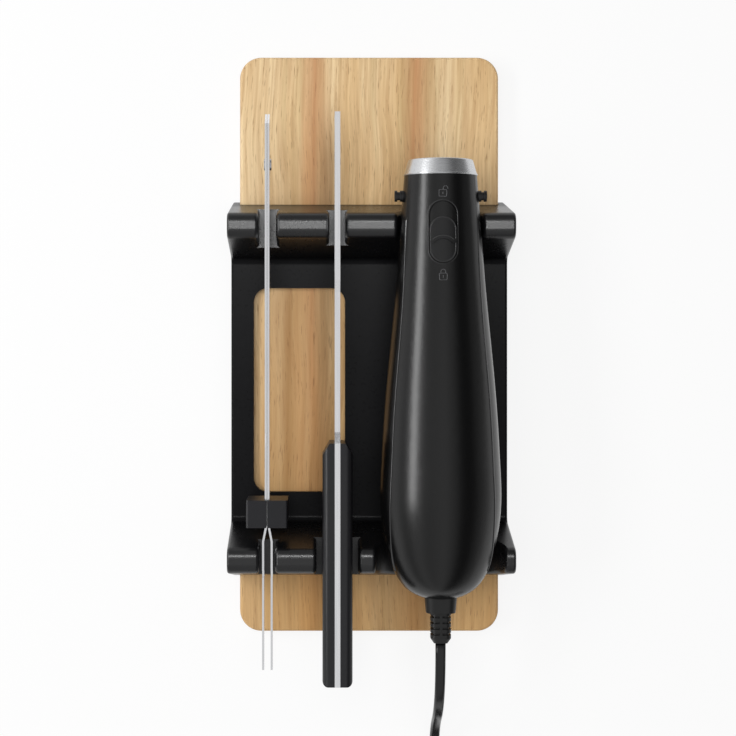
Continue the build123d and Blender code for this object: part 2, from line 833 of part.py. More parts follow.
# Trigger, its pin and the lugs and opening in the lower shell
opening_half = trigger_width / 2 + gap
trigger_front = -trigger_from_nose
trigger_rear = trigger_front - trigger_length
pivot_y = -trigger_pivot_from_nose
trigger_side = outline((trigger_front, -trigger_top), (trigger_rear - trigger_lip, -trigger_top),
                       (trigger_rear - trigger_lip, -trigger_top - trigger_lip_thickness),
                       (trigger_rear, -trigger_top - trigger_lip_thickness),
                       (trigger_rear, -trigger_drop + 2 * trigger_boss_radius),
                       (trigger_rear + 2 * trigger_boss_radius, -trigger_drop),
                       (trigger_front - 2 * trigger_boss_radius, -trigger_drop),
                       (trigger_front, -trigger_drop + trigger_boss_radius))
low_corners = trigger_side.vertices().group_by(Axis.Y)[0]
trigger_side = fillet(low_corners, trigger_boss_radius)
trigger = prism_x(trigger_side, -trigger_width / 2, trigger_width / 2)
trigger += rod_x(trigger_boss_radius, -trigger_width / 2, trigger_width / 2, pivot_y, -trigger_pivot_drop)
trigger -= rod_x(trigger_pin_radius + running, -overrun - trigger_width, overrun + trigger_width,
                 pivot_y, -trigger_pivot_drop)
nub_y = -switch_from_nose - switch_length + 2 * switch_plunger_radius
trigger += rod_z(switch_plunger_radius, -trigger_top - gap, -trigger_top + trigger_nub, 0, nub_y)
pocket_y = -trigger_spring_from_nose
pocket_low = -trigger_top - trigger_pocket_depth
trigger -= rod_z(trigger_spring_radius + 2 * trigger_spring_wire, pocket_low, 0, 0, pocket_y)
keep("trigger", trigger, place=knife_place)
lug_inner = opening_half
lug_outer = lug_inner + lug_thickness
pin_reach = lug_outer - fit
keep("trigger_pin", rod_x(trigger_pin_radius, -pin_reach, pin_reach, pivot_y, -trigger_pivot_drop),
     place=knife_place)
chassis_low = -chassis_drop
keep("trigger_spring", Pos(0, pocket_y, 0) * spring(trigger_spring_radius, trigger_spring_wire,
                                                    trigger_spring_turns,
                                                    pocket_low + gap / 3, chassis_low - gap / 3),
     place=knife_place)
lower_cuts.append(block((-opening_half, opening_half), (trigger_rear - gap, trigger_front + gap),
                        (-handle_half, chassis_low)))
for side in (-1, 1):
    sides = sorted((side * lug_inner, side * lug_outer))
    lug = block(sides, (pivot_y - trigger_boss_radius, pivot_y + trigger_boss_radius),
                (-handle_half, -trigger_pivot_drop + trigger_boss_radius))
    lower_inside.append(lug)
lower_cuts.append(rod_x(trigger_pin_radius + fit, -lug_outer, lug_outer, pivot_y, -trigger_pivot_drop))

# Saddle ribs moulded in the lower shell
shaft_z = -shaft_drop
stack_front = -motor_from_nose
stack_rear = stack_front - stack_length
chassis_front = -chassis_from_nose
chassis_rear = chassis_front - chassis_length
guide_half_height = carrier_height / 2 + guide_gap + guide_wall


def saddle(back, pocket, top):
    """A rib across the lower shell, open to the piece that lies in its pocket."""
    rib = block((-handle_half, handle_half), (-back - saddle_thickness / 2, -back + saddle_thickness / 2),
                (-handle_half, top))
    return rib - pocket


across = (-handle_half, 0)
guide_pocket = block((-guide_half - fit, guide_half + fit), (-handle_length, 0),
                     (-guide_half_height - fit, handle_half))
chassis_pocket = block((-chassis_half_width - fit, chassis_half_width + fit), (-handle_length, 0),
                       (chassis_low - fit, handle_half))
trigger_room = block((-opening_half, opening_half), (chassis_rear, trigger_front + gap),
                     (-handle_half, chassis_low))
stator_face = Pos(0, shaft_z) * RectangleRounded(stator_width + 2 * fit, stator_height + 2 * fit,
                                                 stator_round)
stator_pocket = prism_y(stator_face, -handle_length, 0)
stator_pocket += block((-stator_width / 2 - fit, stator_width / 2 + fit), (-handle_length, 0),
                       (shaft_z, handle_half))
ribs = [saddle(back, guide_pocket, saddle_top) for back in guide_saddles]
ribs += [saddle(back, chassis_pocket, saddle_top) for back in chassis_saddles]
ribs += [saddle(back, stator_pocket, saddle_top) for back in stator_saddles]
lower_inside += [rib - trigger_room for rib in ribs]

# Slotted saddle for the rear bracket
bracket_front = -rear_bracket_from_nose
bracket_rear = bracket_front - rear_bracket_thickness
bracket_saddle = block((-handle_half, handle_half),
                       (bracket_rear - saddle_thickness, bracket_front + saddle_thickness),
                       (-handle_half, shaft_z - rear_bracket_height / 4))
bracket_saddle -= block((-rear_bracket_width / 2 - fit, rear_bracket_width / 2 + fit),
                        (bracket_rear - fit, bracket_front + fit),
                        (shaft_z - rear_bracket_height / 2 - fit, 0))
bracket_saddle -= rod_y(bush_radius + 2 * bush_housing + gap, -handle_length, 0, 0, shaft_z)
lower_inside.append(bracket_saddle)

# Circuit board posts and the cord clamp's seat
circuit_middle = -circuit_from_nose - circuit_length / 2
for x in (-circuit_post_x, circuit_post_x):
    lower_inside.append(rod_z(board_post_radius, -handle_half, -circuit_drop - fit, x, circuit_middle))
clamp_front = -clamp_from_nose
clamp_rear = clamp_front - clamp_length
clamp_seat = block((-clamp_width / 2, clamp_width / 2), (clamp_rear, clamp_front),
                   (-handle_half, core_radius + fit))
clamp_seat -= block((-cord_width / 2, cord_width / 2), (clamp_rear - overrun, clamp_front + overrun),
                    (-core_radius - fit, handle_half))
clamp_screw_low = -clamp_screw_length + core_radius + clamp_thickness
clamp_screws = []
clamp_middle = (clamp_front + clamp_rear) / 2
for x in (-clamp_screw_x, clamp_screw_x):
    clamp_screws.append(rod_z(clamp_screw_radius, clamp_screw_low, core_radius + clamp_thickness, x,
                              clamp_middle)
                        + rod_z(clamp_screw_head_radius, core_radius + clamp_thickness,
                                core_radius + clamp_thickness + clamp_screw_radius, x, clamp_middle))
    clamp_seat -= rod_z(clamp_screw_radius + fit, clamp_screw_low - gap, overrun, x, clamp_middle)
lower_inside.append(clamp_seat)
clamp_bar = block((-clamp_width / 2, clamp_width / 2), (clamp_rear, clamp_front),
                  (core_radius + fit, core_radius + clamp_thickness))
for x in (-clamp_screw_x, clamp_screw_x):
    clamp_bar -= rod_z(clamp_screw_radius + fit, -overrun, handle_half, x, clamp_middle)
keep("cord_clamp", clamp_bar, place=knife_place)
keep("clamp_screws", *clamp_screws, place=knife_place)

# The two shells, each finished in one joining and one cutting
lower_ribs = (lower_inside[0] + lower_inside[1:]) & inner
keep("bottom_shell", (skin + lower_ribs) - lower_cuts, place=knife_place)
upper_posts = (posts[0] + posts[1:]) & inner
keep("top_cover", ((skin + upper_posts) - upper_cuts) & above_seam, place=knife_place)

# Blade carriers, their guide block and the latch leaves that hold the tangs
channel_half = carrier_outer + guide_gap
guide_y = (-guide_from_nose - guide_length, -guide_from_nose)
guide = block((-guide_half, guide_half), guide_y, (-guide_half_height, guide_half_height))
guide -= block((-channel_half, channel_half), (guide_y[0] - overrun, guide_y[1] + overrun),
               (-carrier_height / 2 - guide_gap, carrier_height / 2 + guide_gap))
guide -= rod_x(button_stem_radius + gap, -handle_half, handle_half, button_y)
keep("carrier_guide", guide, place=knife_place)
gear_y = -gear_from_nose
gear_pitch_radius = drive_module * gear_teeth / 2
gear_z = shaft_z + worm_pitch_radius + gear_pitch_radius
cam_sweep = cam_radius + cam_throw
arm_outer = arm_inner + arm_thickness
plate_reach = cam_radius + fork_slack + fork_plate_margin
for side, word in side_words:
    bar = block(sorted((side * carrier_inner, side * carrier_outer)),
                (-carrier_from_nose - carrier_length, -carrier_from_nose),
                (-carrier_height / 2, carrier_height / 2))
    arm_x = sorted((side * arm_inner, side * arm_outer))
    bar += block(arm_x, (gear_y - plate_reach, -arm_from_nose), (-arm_drop, -arm_drop + carrier_height / 2))
    bar += block(arm_x, (gear_y - plate_reach, gear_y + plate_reach),
                 (-arm_drop, gear_z + cam_radius + cam_throw))
    bar -= block((-handle_half, handle_half),
                 (gear_y - cam_radius - fork_slack, gear_y + cam_radius + fork_slack),
                 (gear_z - cam_sweep - gap, handle_half))
    tang_half_gap = tang_thickness / 2 + tang_slot_gap
    tang_x = side * tang_spread / 2
    bar -= block((tang_x - tang_half_gap, tang_x + tang_half_gap), (-tang_length - 2 * gap, 0),
                 (-tang_height / 2 - tang_slot_gap, tang_height / 2 + tang_slot_gap))
    latch_y = (-button_from_nose - latch_length / 2, -button_from_nose + latch_length / 2)
    leaf_inner = side * (carrier_outer - 2 * latch_thickness)
    leaf_outer = side * (carrier_outer - latch_thickness)
    leaf = block(sorted((leaf_inner, leaf_outer)), latch_y, (-latch_height / 2, latch_height / 2))
    bar -= block(sorted((leaf_inner, side * handle_half)), (latch_y[0] - fit, latch_y[1] + fit),
                 (-latch_height / 2 - fit, latch_height / 2 + fit))
    keep(f"{word}_carrier", bar, place=knife_place)
    keep(f"{word}_blade_latch", leaf, place=knife_place)

# Chassis that holds the gear, the front bush and the switch
plate_inner = chassis_half_width - chassis_plate
chassis = block((-chassis_half_width, chassis_half_width), (chassis_rear, chassis_front),
                (chassis_low, chassis_low + chassis_plate))
for side in (-1, 1):
    chassis += block(sorted((side * plate_inner, side * chassis_half_width)), (chassis_rear, chassis_front),
                     (chassis_low, chassis_rise))
wall_top = -arm_drop - 2 * gap
chassis += block((-plate_inner, plate_inner), (chassis_front - bush_length, chassis_front),
                 (chassis_low, wall_top))
housing = bush_radius + bush_housing
chassis += rod_y(housing, chassis_front - bush_length, chassis_front, 0, shaft_z)
chassis += block((-plate_inner, plate_inner), (chassis_rear, chassis_rear + chassis_plate),
                 (chassis_low, chassis_rise))
chassis -= rod_y(housing, chassis_rear - overrun, chassis_rear + overrun, 0, shaft_z)
chassis -= rod_y(bush_radius, chassis_front - bush_length - overrun, chassis_front + overrun, 0, shaft_z)
chassis -= rod_x(axle_radius + fit, -handle_half, handle_half, gear_y, gear_z)
tongue_top = -carrier_height / 2 - 2 * gap
tongue_front = -switch_from_nose + gap
chassis += block((-switch_tongue_width / 2, switch_tongue_width / 2), (chassis_front, tongue_front),
                 (tongue_top - switch_tongue, tongue_top))
keep("gear_chassis", chassis, place=knife_place)
switch_top = tongue_top - switch_tongue
switch = block((-switch_width / 2, switch_width / 2),
               (-switch_from_nose - switch_length, -switch_from_nose),
               (switch_top - switch_height, switch_top))
switch += rod_z(switch_plunger_radius, switch_top - switch_height - switch_plunger,
                switch_top - switch_height, 0, nub_y)
keep("trigger_switch", switch, place=knife_place)
keep("gear_axle", rod_x(axle_radius, -chassis_half_width, chassis_half_width, gear_y, gear_z),
     place=knife_place)
for name, front in (("front_bush", chassis_front),
                    ("rear_bush", bracket_front + (bush_length - rear_bracket_thickness) / 2)):
    bush = rod_y(bush_radius - fit, front - bush_length, front, 0, shaft_z)
    bush -= rod_y(shaft_radius + running, front - bush_length - overrun, front + overrun, 0, shaft_z)
    keep(name, bush, place=knife_place)

# Worm on the motor shaft and the wheel that it drives, with a cam on each face
lead = pi * drive_module * worm_starts
backlash = tooth_slack * drive_module / 2


def flank(radius, pitch_radius, swing):
    """Half a tooth's angle at a radius, for a straight-sided rack form; swing is angle over length."""
    half_space = pi * drive_module / 4 - backlash / 2
    return (half_space - (radius - pitch_radius) * tan(radians(pressure_angle))) * swing


def toothed(radii, pitch_radius, count, swing):
    """A toothed outline about the origin through root, pitch and tip radii."""
    points = []
    for tooth in range(count):
        middle = 2 * pi * tooth / count
        for radius in radii:
            angle = middle - flank(radius, pitch_radius, swing)
            points.append((radius * cos(angle), radius * sin(angle)))
        for radius in reversed(radii):
            angle = middle + flank(radius, pitch_radius, swing)
            points.append((radius * cos(angle), radius * sin(angle)))
    return outline(*points)


root = 1.25 * drive_module
worm_radii = [worm_pitch_radius + step for step in (-root, -root / 2, 0, drive_module / 2, drive_module)]
worm_face = toothed(worm_radii, worm_pitch_radius, worm_starts, 2 * pi / lead)
core = Circle(worm_pitch_radius - root + running)
worm_face = worm_face + core
worm_turn = 360 * worm_length / lead
worm = Solid.extrude_linear_with_rotation(worm_face.faces()[0], (0, 0, 0), (0, 0, worm_length), worm_turn)
worm_rear = gear_y - worm_length / 2
worm_phase = -90 - 180 / worm_starts - worm_turn / 2
worm = Pos(0, worm_rear, shaft_z) * Rot(-90, 0, 0) * Rot(0, 0, worm_phase) * worm
wheel_radii = [gear_pitch_radius + step for step in (-root, 0, drive_module)]
wheel_face = toothed(wheel_radii, gear_pitch_radius, gear_teeth, 1 / gear_pitch_radius)
wheel_turn = degrees(gear_face * lead / (2 * pi * worm_pitch_radius) / gear_pitch_radius)
wheel = Solid.extrude_linear_with_rotation(wheel_face.faces()[0], (0, 0, 0), (0, 0, gear_face), wheel_turn)
wheel = Pos(0, 0, -gear_face / 2) * Rot(0, 0, -90 - wheel_turn / 2) * wheel
cams = Pos(0, cam_throw, (gear_face + cam_length) / 2) * Cylinder(cam_radius, cam_length)
cams += Pos(0, -cam_throw, -(gear_face + cam_length) / 2) * Cylinder(cam_radius, cam_length)
turn_gear = Pos(0, gear_y, gear_z) * Rot(0, 0, 90) * Rot(90, 0, 0)
wheel = turn_gear * (wheel + cams)
wheel -= rod_x(axle_radius + running, -handle_half, handle_half, gear_y, gear_z)
keep("worm_wheel", wheel, place=knife_place)
shaft_front = chassis_front - gap / 3
shaft_rear = bracket_rear - bush_length
shaft = rod_y(shaft_radius, worm_rear + worm_length - fit, shaft_front, 0, shaft_z)
shaft += rod_y(shaft_radius, shaft_rear, worm_rear + fit, 0, shaft_z)
keep("worm_shaft", shaft + worm, place=knife_place)

# Motor: field stack with its coils, armature, commutator and fan
stack_middle = (stack_front + stack_rear) / 2
bore_radius = armature_radius + air_gap
window_out = stator_width / 2 - stator_yoke
window_in = sqrt((bore_radius + pole_shoe) ** 2 - pole_half ** 2)
window_top = stator_height / 2 - stator_yoke
stator = prism_y(RectangleRounded(stator_width, stator_height, stator_round), stack_rear, stack_front)
stator -= rod_y(bore_radius, stack_rear - overrun, stack_front + overrun)
coils = []
for side in (-1, 1):
    for turn in (-1, 1):
        stator -= block(sorted((side * window_in, side * window_out)),
                        (stack_rear - overrun, stack_front + overrun),
                        sorted((turn * pole_half, turn * window_top)))
    loop_length = stack_length + 2 * coil_gap + 2 * coil_overhang
    loop = Pos(stack_middle, 0) * RectangleRounded(loop_length, 2 * (window_top - coil_gap), coil_round)
    loop -= Pos(stack_middle, 0) * Rectangle(stack_length + 2 * coil_gap, 2 * (pole_half + coil_gap))
    coils.append(prism_x(loop, *sorted((side * (window_in + coil_gap), side * (window_out - coil_gap)))))
motor_place = knife_place * Pos(0, 0, shaft_z)
keep("stator_core", stator, place=motor_place)
keep("field_coils", *coils, place=motor_place)
armature = rod_y(armature_radius, stack_rear, stack_front)
bar_slot = block((-armature_slot_width / 2, armature_slot_width / 2),
                 (stack_rear - overrun, stack_front + overrun),
                 (armature_radius - armature_slot_depth, armature_radius + overrun))
armature -= [Rot(0, 360 * number / armature_slots, 0) * bar_slot for number in range(armature_slots)]
shaft_hole = rod_y(shaft_radius + fit, -handle_length, 0)
keep("armature_core", armature - shaft_hole, place=motor_place)
ends = [rod_y(winding_radius, stack_front, stack_front + winding_length) - shaft_hole,
        rod_y(winding_radius, stack_rear - winding_length, stack_rear) - shaft_hole]
ends = [fillet(end.edges().filter_by(GeomType.CIRCLE).group_by(SortBy.RADIUS)[-1], coil_round)
        for end in ends]
keep("armature_windings", *ends, place=motor_place)
commutator_front = -commutator_from_nose
commutator_rear = commutator_front - commutator_length
commutator = rod_y(commutator_radius, commutator_rear, commutator_front)
cut = block((-commutator_cut / 2, commutator_cut / 2),
            (commutator_rear - overrun, commutator_front + overrun),
            (commutator_radius - commutator_cut, commutator_radius + overrun))
commutator -= [Rot(0, 360 * number / commutator_bars, 0) * cut for number in range(commutator_bars)]
keep("commutator", commutator - shaft_hole, place=motor_place)
fan_front = -fan_from_nose
fan_rear = fan_front - fan_length
fan = rod_y(fan_radius, fan_rear, fan_rear + fan_disc) + rod_y(fan_hub_radius, fan_rear, fan_front)
blade = block((-fan_blade_thickness / 2, fan_blade_thickness / 2), (fan_rear, fan_front),
              (fan_hub_radius - fan_blade_thickness, fan_radius - fan_blade_thickness))
fan += [Rot(0, 360 * number / fan_blades, 0) * blade for number in range(fan_blades)]
keep("cooling_fan", fan - shaft_hole, place=motor_place)

# Rear bracket with its brush holders, brushes and their springs
bracket = prism_y(RectangleRounded(rear_bracket_width, rear_bracket_height, brush_section), bracket_rear,
                  bracket_front)
bush_front = bracket_front + (bush_length - rear_bracket_thickness) / 2
bracket += rod_y(housing, bush_front - bush_length, bush_front)
holder_half = brush_section / 2 + brush_holder_wall
brush_y = (commutator_front + commutator_rear) / 2
holder_start = commutator_radius + 2 * brush_holder_wall
holder_end = rear_bracket_width / 2
holders, brushes, brush_springs = [], [], []
for side in (-1, 1):
    bracket += block(sorted((side * (holder_end - brush_section), side * holder_end)),
                     (bracket_front, brush_y - holder_half), (-brush_arm / 2, brush_arm / 2))
    holder = block(sorted((side * holder_start, side * holder_end)),
                   (brush_y - holder_half, brush_y + holder_half),
                   (-holder_half, holder_half))
    inner_half = brush_section / 2 + running
    holder -= block(sorted((side * commutator_radius, side * (holder_end - brush_holder_wall))),
                    (brush_y - inner_half, brush_y + inner_half), (-inner_half, inner_half))
    holders.append(holder)
    brush_start = commutator_radius + gap
    half = brush_section / 2
    brushes.append(block(sorted((side * brush_start, side * (brush_start + brush_length))),
                         (brush_y - half, brush_y + half), (-half, half)))
    coil_spring = spring(half - 2 * button_spring_wire, button_spring_wire, trigger_spring_turns,
                         brush_start + brush_length + gap / 3, holder_end - brush_holder_wall - gap / 3)
    brush_springs.append(Pos(0, brush_y, 0) * Rot(0, 90 * side, 0) * coil_spring)
bracket -= rod_y(bush_radius, bush_front - bush_length - overrun, bush_front + overrun)
keep("rear_bracket", bracket, place=motor_place)
keep("brush_holders", *holders, place=motor_place)
keep("carbon_brushes", *brushes, place=motor_place)
keep("brush_springs", *brush_springs, place=motor_place)

# Circuit board with its capacitor and diodes, and the wires between them
board_top = -circuit_drop + circuit_thickness
circuit_y = (-circuit_from_nose - circuit_length, -circuit_from_nose)
keep("circuit_board", block((-circuit_width / 2, circuit_width / 2), circuit_y, (-circuit_drop, board_top)),
     place=knife_place)
capacitor_y = circuit_y[1] - capacitor_radius - gap
keep("capacitor", rod_x(capacitor_radius, -capacitor_length / 2, capacitor_length / 2, capacitor_y,
                        board_top + capacitor_radius + fit), place=knife_place)
diodes = []
diode_y = circuit_y[0] + diode_side
for number in range(diode_count):
    x = (number - (diode_count - 1) / 2) * diode_side * 3 / 2
    diodes.append(block((x - diode_side / 2, x + diode_side / 2),
                        (diode_y - diode_side / 2, diode_y + diode_side / 2),
                        (board_top, board_top + diode_side / 2)))
keep("rectifier_diodes", *diodes, place=knife_place)


def wire(radius, *points):
    """A round wire through its corner points."""
    path = FilletPolyline(*points, radius=wire_bend)
    return sweep(Plane(origin=path @ 0, z_dir=path % 0) * Circle(radius), path=path)


# Two cores from the cord's clamp to the circuit board, and two wires forward to the switch
core_y = capacitor_y - capacitor_radius - core_radius - gap
switch_y = -switch_from_nose - switch_length / 2
switch_z = switch_top - switch_height / 2
climb_y = chassis_front + core_spacing / 2
fan_y = -fan_from_nose - fan_length
wires = []
for side in (-1, 1):
    core_x = side * core_spacing / 2
    wires.append(wire(core_radius, (core_x, -neck_flange_from_nose, 0), (core_x, core_y - wire_bend, 0),
                      (core_x, core_y, board_top / 2), (core_x, core_y, board_top)))
    wires.append(wire(wire_radius, (side * switch_width / 2, switch_y, switch_z),
                      (side * wire_switch_x, switch_y, switch_z),
                      (side * wire_switch_x, climb_y, wire_height),
                      (side * wire_side_x, fan_y, wire_height),
                      (side * wire_side_x, bracket_rear - wire_bend, wire_height),
                      (side * wire_board_x, capacitor_y, board_top / 2),
                      (side * wire_board_x, capacitor_y, board_top)))
keep("lead_wires", *wires, place=knife_place)

# Strain relief: flange behind the tail, neck through it, collar, grooved sleeve and tip
collar_front = -collar_from_nose
collar_rear = collar_front - collar_length
sleeve_rear = collar_rear - sleeve_length
tip_rear = sleeve_rear - sleeve_tip_length
taper = collar_end_width / collar_width


def tapered(front_size, front_y, rear_size, rear_y):
    """A rounded rectangle's run along Y that changes size from its front to its rear."""
    faces = []
    for (width, height), y in ((front_size, front_y), (rear_size, rear_y)):
        faces.append(Pos(0, y, 0) * (Plane.XZ * RectangleRounded(width, height, height / 3)))
    return loft(faces)


relief = rod_y(neck_flange_radius, -neck_flange_from_nose - neck_flange, -neck_flange_from_nose)
relief += rod_y(neck_radius, collar_front, -neck_flange_from_nose)
relief += tapered((collar_width, collar_height), collar_front, (collar_end_width, taper * collar_height),
                  collar_rear)
relief += prism_y(RectangleRounded(sleeve_width, sleeve_height, sleeve_height / 3), sleeve_rear,
                  collar_rear)
relief += tapered((sleeve_width, sleeve_height), sleeve_rear, (sleeve_tip_width, sleeve_tip_height),
                  tip_rear)
row_pitch = sleeve_length / (sleeve_rows + 1 / 2)
for row in range(sleeve_rows):
    y = collar_rear - row_pitch * (row + 1 / 2)
    band = block((-collar_width, collar_width), (y - sleeve_groove, y), (-collar_height, collar_height))
    band -= prism_y(RectangleRounded(sleeve_width - 2 * sleeve_groove_depth,
                                     sleeve_height - 2 * sleeve_groove_depth,
                                     sleeve_groove_depth), y - sleeve_groove, y)
    band -= block((-sleeve_spine / 2, sleeve_spine / 2), (y - sleeve_groove, y),
                  (-collar_height, collar_height))
    relief -= band
keep("strain_relief", relief, place=knife_place)

# Cord: straight runs joined by arcs, as wide as each turn allows
cord_section = SlotOverall(cord_width, cord_thickness)


def turn_between(before, corner, after):
    """Half the angle that the cord turns through at a corner, in degrees."""
    into = (Vector(*corner) - Vector(*before)).normalized()
    out = (Vector(*after) - Vector(*corner)).normalized()
    return into.get_angle(out) / 2


cord_radii = []
for before, corner, after in zip(cord_points, cord_points[1:], cord_points[2:]):
    shorter = min(dist(before, corner), dist(corner, after))
    cord_radii.append(cord_turn_share * shorter / tan(radians(turn_between(before, corner, after))))
cord_path = FilletPolyline(*cord_points, radius=tuple(cord_radii))
cord = sweep(Plane(origin=cord_path @ 0, x_dir=(1, 0, 0), z_dir=cord_path % 0) * cord_section,
             path=cord_path)
keep("power_cord", cord)
print("cord radii", [round(radius, 1) for radius in cord_radii], "length", round(cord_path.length, 1))
print("cord volume over section times length",
      round(cord.volume / (cord_section.area * cord_path.length), 4))

# Coil on the table: in along one layer and out along a second one above it
coil_start = Vector(*cord_points[-1]) - Vector(0, cord_width, 0)
coil_centre = coil_start + Vector(coil_outer_radius, 0, 0)
plug_z = plug_height / 2
half_turns = coil_turns / 2


def inward(turn):
    """Pitches moved in from the outer loop, easing off at both ends of the way in."""
    if turn < coil_ease:
        return turn ** 2 / (2 * coil_ease)
    if turn > half_turns - coil_ease:
        return half_turns - coil_ease - (half_turns - turn) ** 2 / (2 * coil_ease)
    return turn - coil_ease / 2


def coil_point(turn):
    """A point on the coil's centre line after a number of turns."""
    radius = coil_outer_radius - coil_pitch * inward(min(turn, coil_turns - turn))
    angle = pi + 2 * pi * turn
    share = min(max((turn - half_turns) / coil_climb_turns + 1 / 2, 0), 1)
    level = share * share * (3 - 2 * share)
    height = (plug_z - coil_start.Z) * level
    return coil_centre + Vector(radius * cos(angle), radius * sin(angle), height)


def coil_heading(turn):
    """The coil's direction after a number of turns."""
    step = 1 / 4096
    if turn <= 0 or turn >= coil_turns:
        return Vector(0, -1, 0)
    return (coil_point(turn + step) - coil_point(turn - step)).normalized()


def two_arcs(start, heading, finish, final_heading):
    """Two arcs that meet smoothly between two points with given directions."""
    chord = finish - start
    total = heading + final_heading
    a = 2 * (1 - heading.dot(final_heading))
    b = 2 * chord.dot(total)
    reach = (sqrt(b ** 2 + 4 * a * chord.dot(chord)) - b) / (2 * a)
    first_corner = start + heading * reach
    second_corner = finish - final_heading * reach
    middle = (first_corner + second_corner) * (1 / 2)
    return [TangentArc(start, middle, tangent=heading),
            TangentArc(middle, finish, tangent=second_corner - first_corner)]


coil_edges = [Line(Vector(*cord_points[-1]), coil_start)]
steps = coil_turns * coil_steps_per_turn
for step in range(steps):
    turn = step / coil_steps_per_turn
    after = (step + 1) / coil_steps_per_turn
    coil_edges += two_arcs(coil_point(turn), coil_heading(turn), coil_point(after), coil_heading(after))
coil_end = coil_point(coil_turns)
plug_front = coil_end - Vector(0, coil_lead, 0)
coil_edges.append(Line(coil_end, plug_front))
coil_path = Wire(coil_edges)
coil = sweep(Plane(origin=coil_edges[0] @ 0, x_dir=(1, 0, 0), z_dir=(0, -1, 0)) * cord_section,
             path=coil_path)
keep("cord_coil", coil)
samples = [coil_point(number / coil_samples_per_turn)
           for number in range(coil_turns * coil_samples_per_turn + 1)]
least_gap = coil_pitch
for number, point in enumerate(samples):
    for other in samples[number + coil_samples_per_turn // 2:]:
        apart = other - point
        beside = Vector(apart.X, apart.Y, 0).length - cord_width
        least_gap = min(least_gap, max(beside, abs(apart.Z) - cord_thickness))
print("coil length", round(coil_path.length, 1), "least gap", round(least_gap, 2),
      "volume over section times length", round(coil.volume / (cord_section.area * coil_path.length), 4))

# Plug and its prongs
plug_place = Pos(*plug_front)
neck_size = (plug_neck_width, plug_neck_height)
body_rear = -plug_neck_length - plug_length
plug = tapered((cord_width, cord_thickness), 0, neck_size, -plug_neck_length)
plug += fillet(prism_y(RectangleRounded(plug_width, plug_height, plug_round), body_rear, -plug_neck_length)
               .edges().group_by(Axis.Y)[-1], plug_round / 2)
prongs = []
for side in (-1, 1):
    x = side * prong_spacing / 2
    prong_faces = (x - prong_thickness / 2, x + prong_thickness / 2)
    reach = body_rear - prong_length
    prong = block(prong_faces, (reach, body_rear + prong_seat), (-prong_width / 2, prong_width / 2))
    prong -= rod_x(prong_hole_radius, x - prong_width, x + prong_width, reach + prong_width / 2)
    prongs.append(prong)
    plug -= block((prong_faces[0] - fit, prong_faces[1] + fit),
                  (body_rear - overrun, body_rear + prong_seat),
                  (-prong_width / 2 - fit, prong_width / 2 + fit))
keep("plug_body", plug, place=plug_place)
keep("plug_prongs", *prongs, place=plug_place)
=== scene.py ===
import bpy
import numpy as np
from math import pi
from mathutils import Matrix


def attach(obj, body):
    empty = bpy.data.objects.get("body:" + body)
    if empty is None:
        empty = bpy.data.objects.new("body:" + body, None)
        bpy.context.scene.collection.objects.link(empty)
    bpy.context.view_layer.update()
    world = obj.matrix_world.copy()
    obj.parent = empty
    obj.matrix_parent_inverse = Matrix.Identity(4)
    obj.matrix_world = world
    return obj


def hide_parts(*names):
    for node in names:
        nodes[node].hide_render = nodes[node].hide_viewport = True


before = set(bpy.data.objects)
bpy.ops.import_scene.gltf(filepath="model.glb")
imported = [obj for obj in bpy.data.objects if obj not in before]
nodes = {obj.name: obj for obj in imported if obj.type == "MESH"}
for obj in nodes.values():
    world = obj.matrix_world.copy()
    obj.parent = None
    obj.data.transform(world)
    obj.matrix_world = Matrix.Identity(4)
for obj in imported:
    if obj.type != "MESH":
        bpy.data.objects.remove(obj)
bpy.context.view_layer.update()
mm = 0.001


# Camera: straight above the table, with the photograph's frame shifted off its axis
camera_place = (-0.0276, 0.0426, 0.962)
focal_pixels = 1551.7
frame_pixels = 736
principal_pixel = (324, 320)
sensor_width = 36.0

camera_data = bpy.data.cameras.new("camera")
camera_data.sensor_width = sensor_width
camera_data.lens = focal_pixels * sensor_width / frame_pixels
camera_data.shift_x = 0.5 - principal_pixel[0] / frame_pixels
camera_data.shift_y = principal_pixel[1] / frame_pixels - 0.5
camera = bpy.data.objects.new("camera", camera_data)
camera.location = camera_place
bpy.context.scene.collection.objects.link(camera)
bpy.context.scene.camera = camera


def grid_quads(rows, columns, closed_rows, closed_columns):
    """The corners of each cell of a grid of points; a closed direction joins its last line to its first."""
    r, c = np.meshgrid(np.arange(rows if closed_rows else rows - 1),
                       np.arange(columns if closed_columns else columns - 1), indexing="ij")
    r2 = (r + 1) % rows
    c2 = (c + 1) % columns
    corners = (r * columns + c, r2 * columns + c, r2 * columns + c2, r * columns + c2)
    return np.stack(corners, -1).reshape(-1, 4)


def mesh_piece(name, points, faces, body, material):
    """A smooth piece from its points and faces, with one material, which rides a body."""
    mesh = bpy.data.meshes.new(name)
    mesh.from_pydata(points.reshape(-1, 3).tolist(), [], faces)
    mesh.polygons.foreach_set("use_smooth", [True] * len(mesh.polygons))
    mesh.materials.append(material)
    piece = bpy.data.objects.new(name, mesh)
    bpy.context.scene.collection.objects.link(piece)
    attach(piece, body)
    return piece


def grid_piece(name, points, body, material, closed_rows=False, closed_columns=True, caps=False):
    """A surface from an array of points [row, column, xyz]: each cell of the grid is one quad.
    Closed columns join each row's last point to its first; caps close the first and last row."""
    rows, columns = points.shape[:2]
    faces = grid_quads(rows, columns, closed_rows, closed_columns).tolist()
    if caps:
        faces.append(list(range(columns)))
        faces.append([(rows - 1) * columns + c for c in reversed(range(columns))])
    return mesh_piece(name, points, faces, body, material)


# Materials: colours are written as the photograph's 0 to 255 values. Texture scales are per metre
sway_scale = 8.0
fine_patch_scale = 420.0
patch_scale = 24.0

# A colour Mix node's sockets go by number, because its names repeat for each type of data
mix_first, mix_second, mix_result = 6, 7, 2

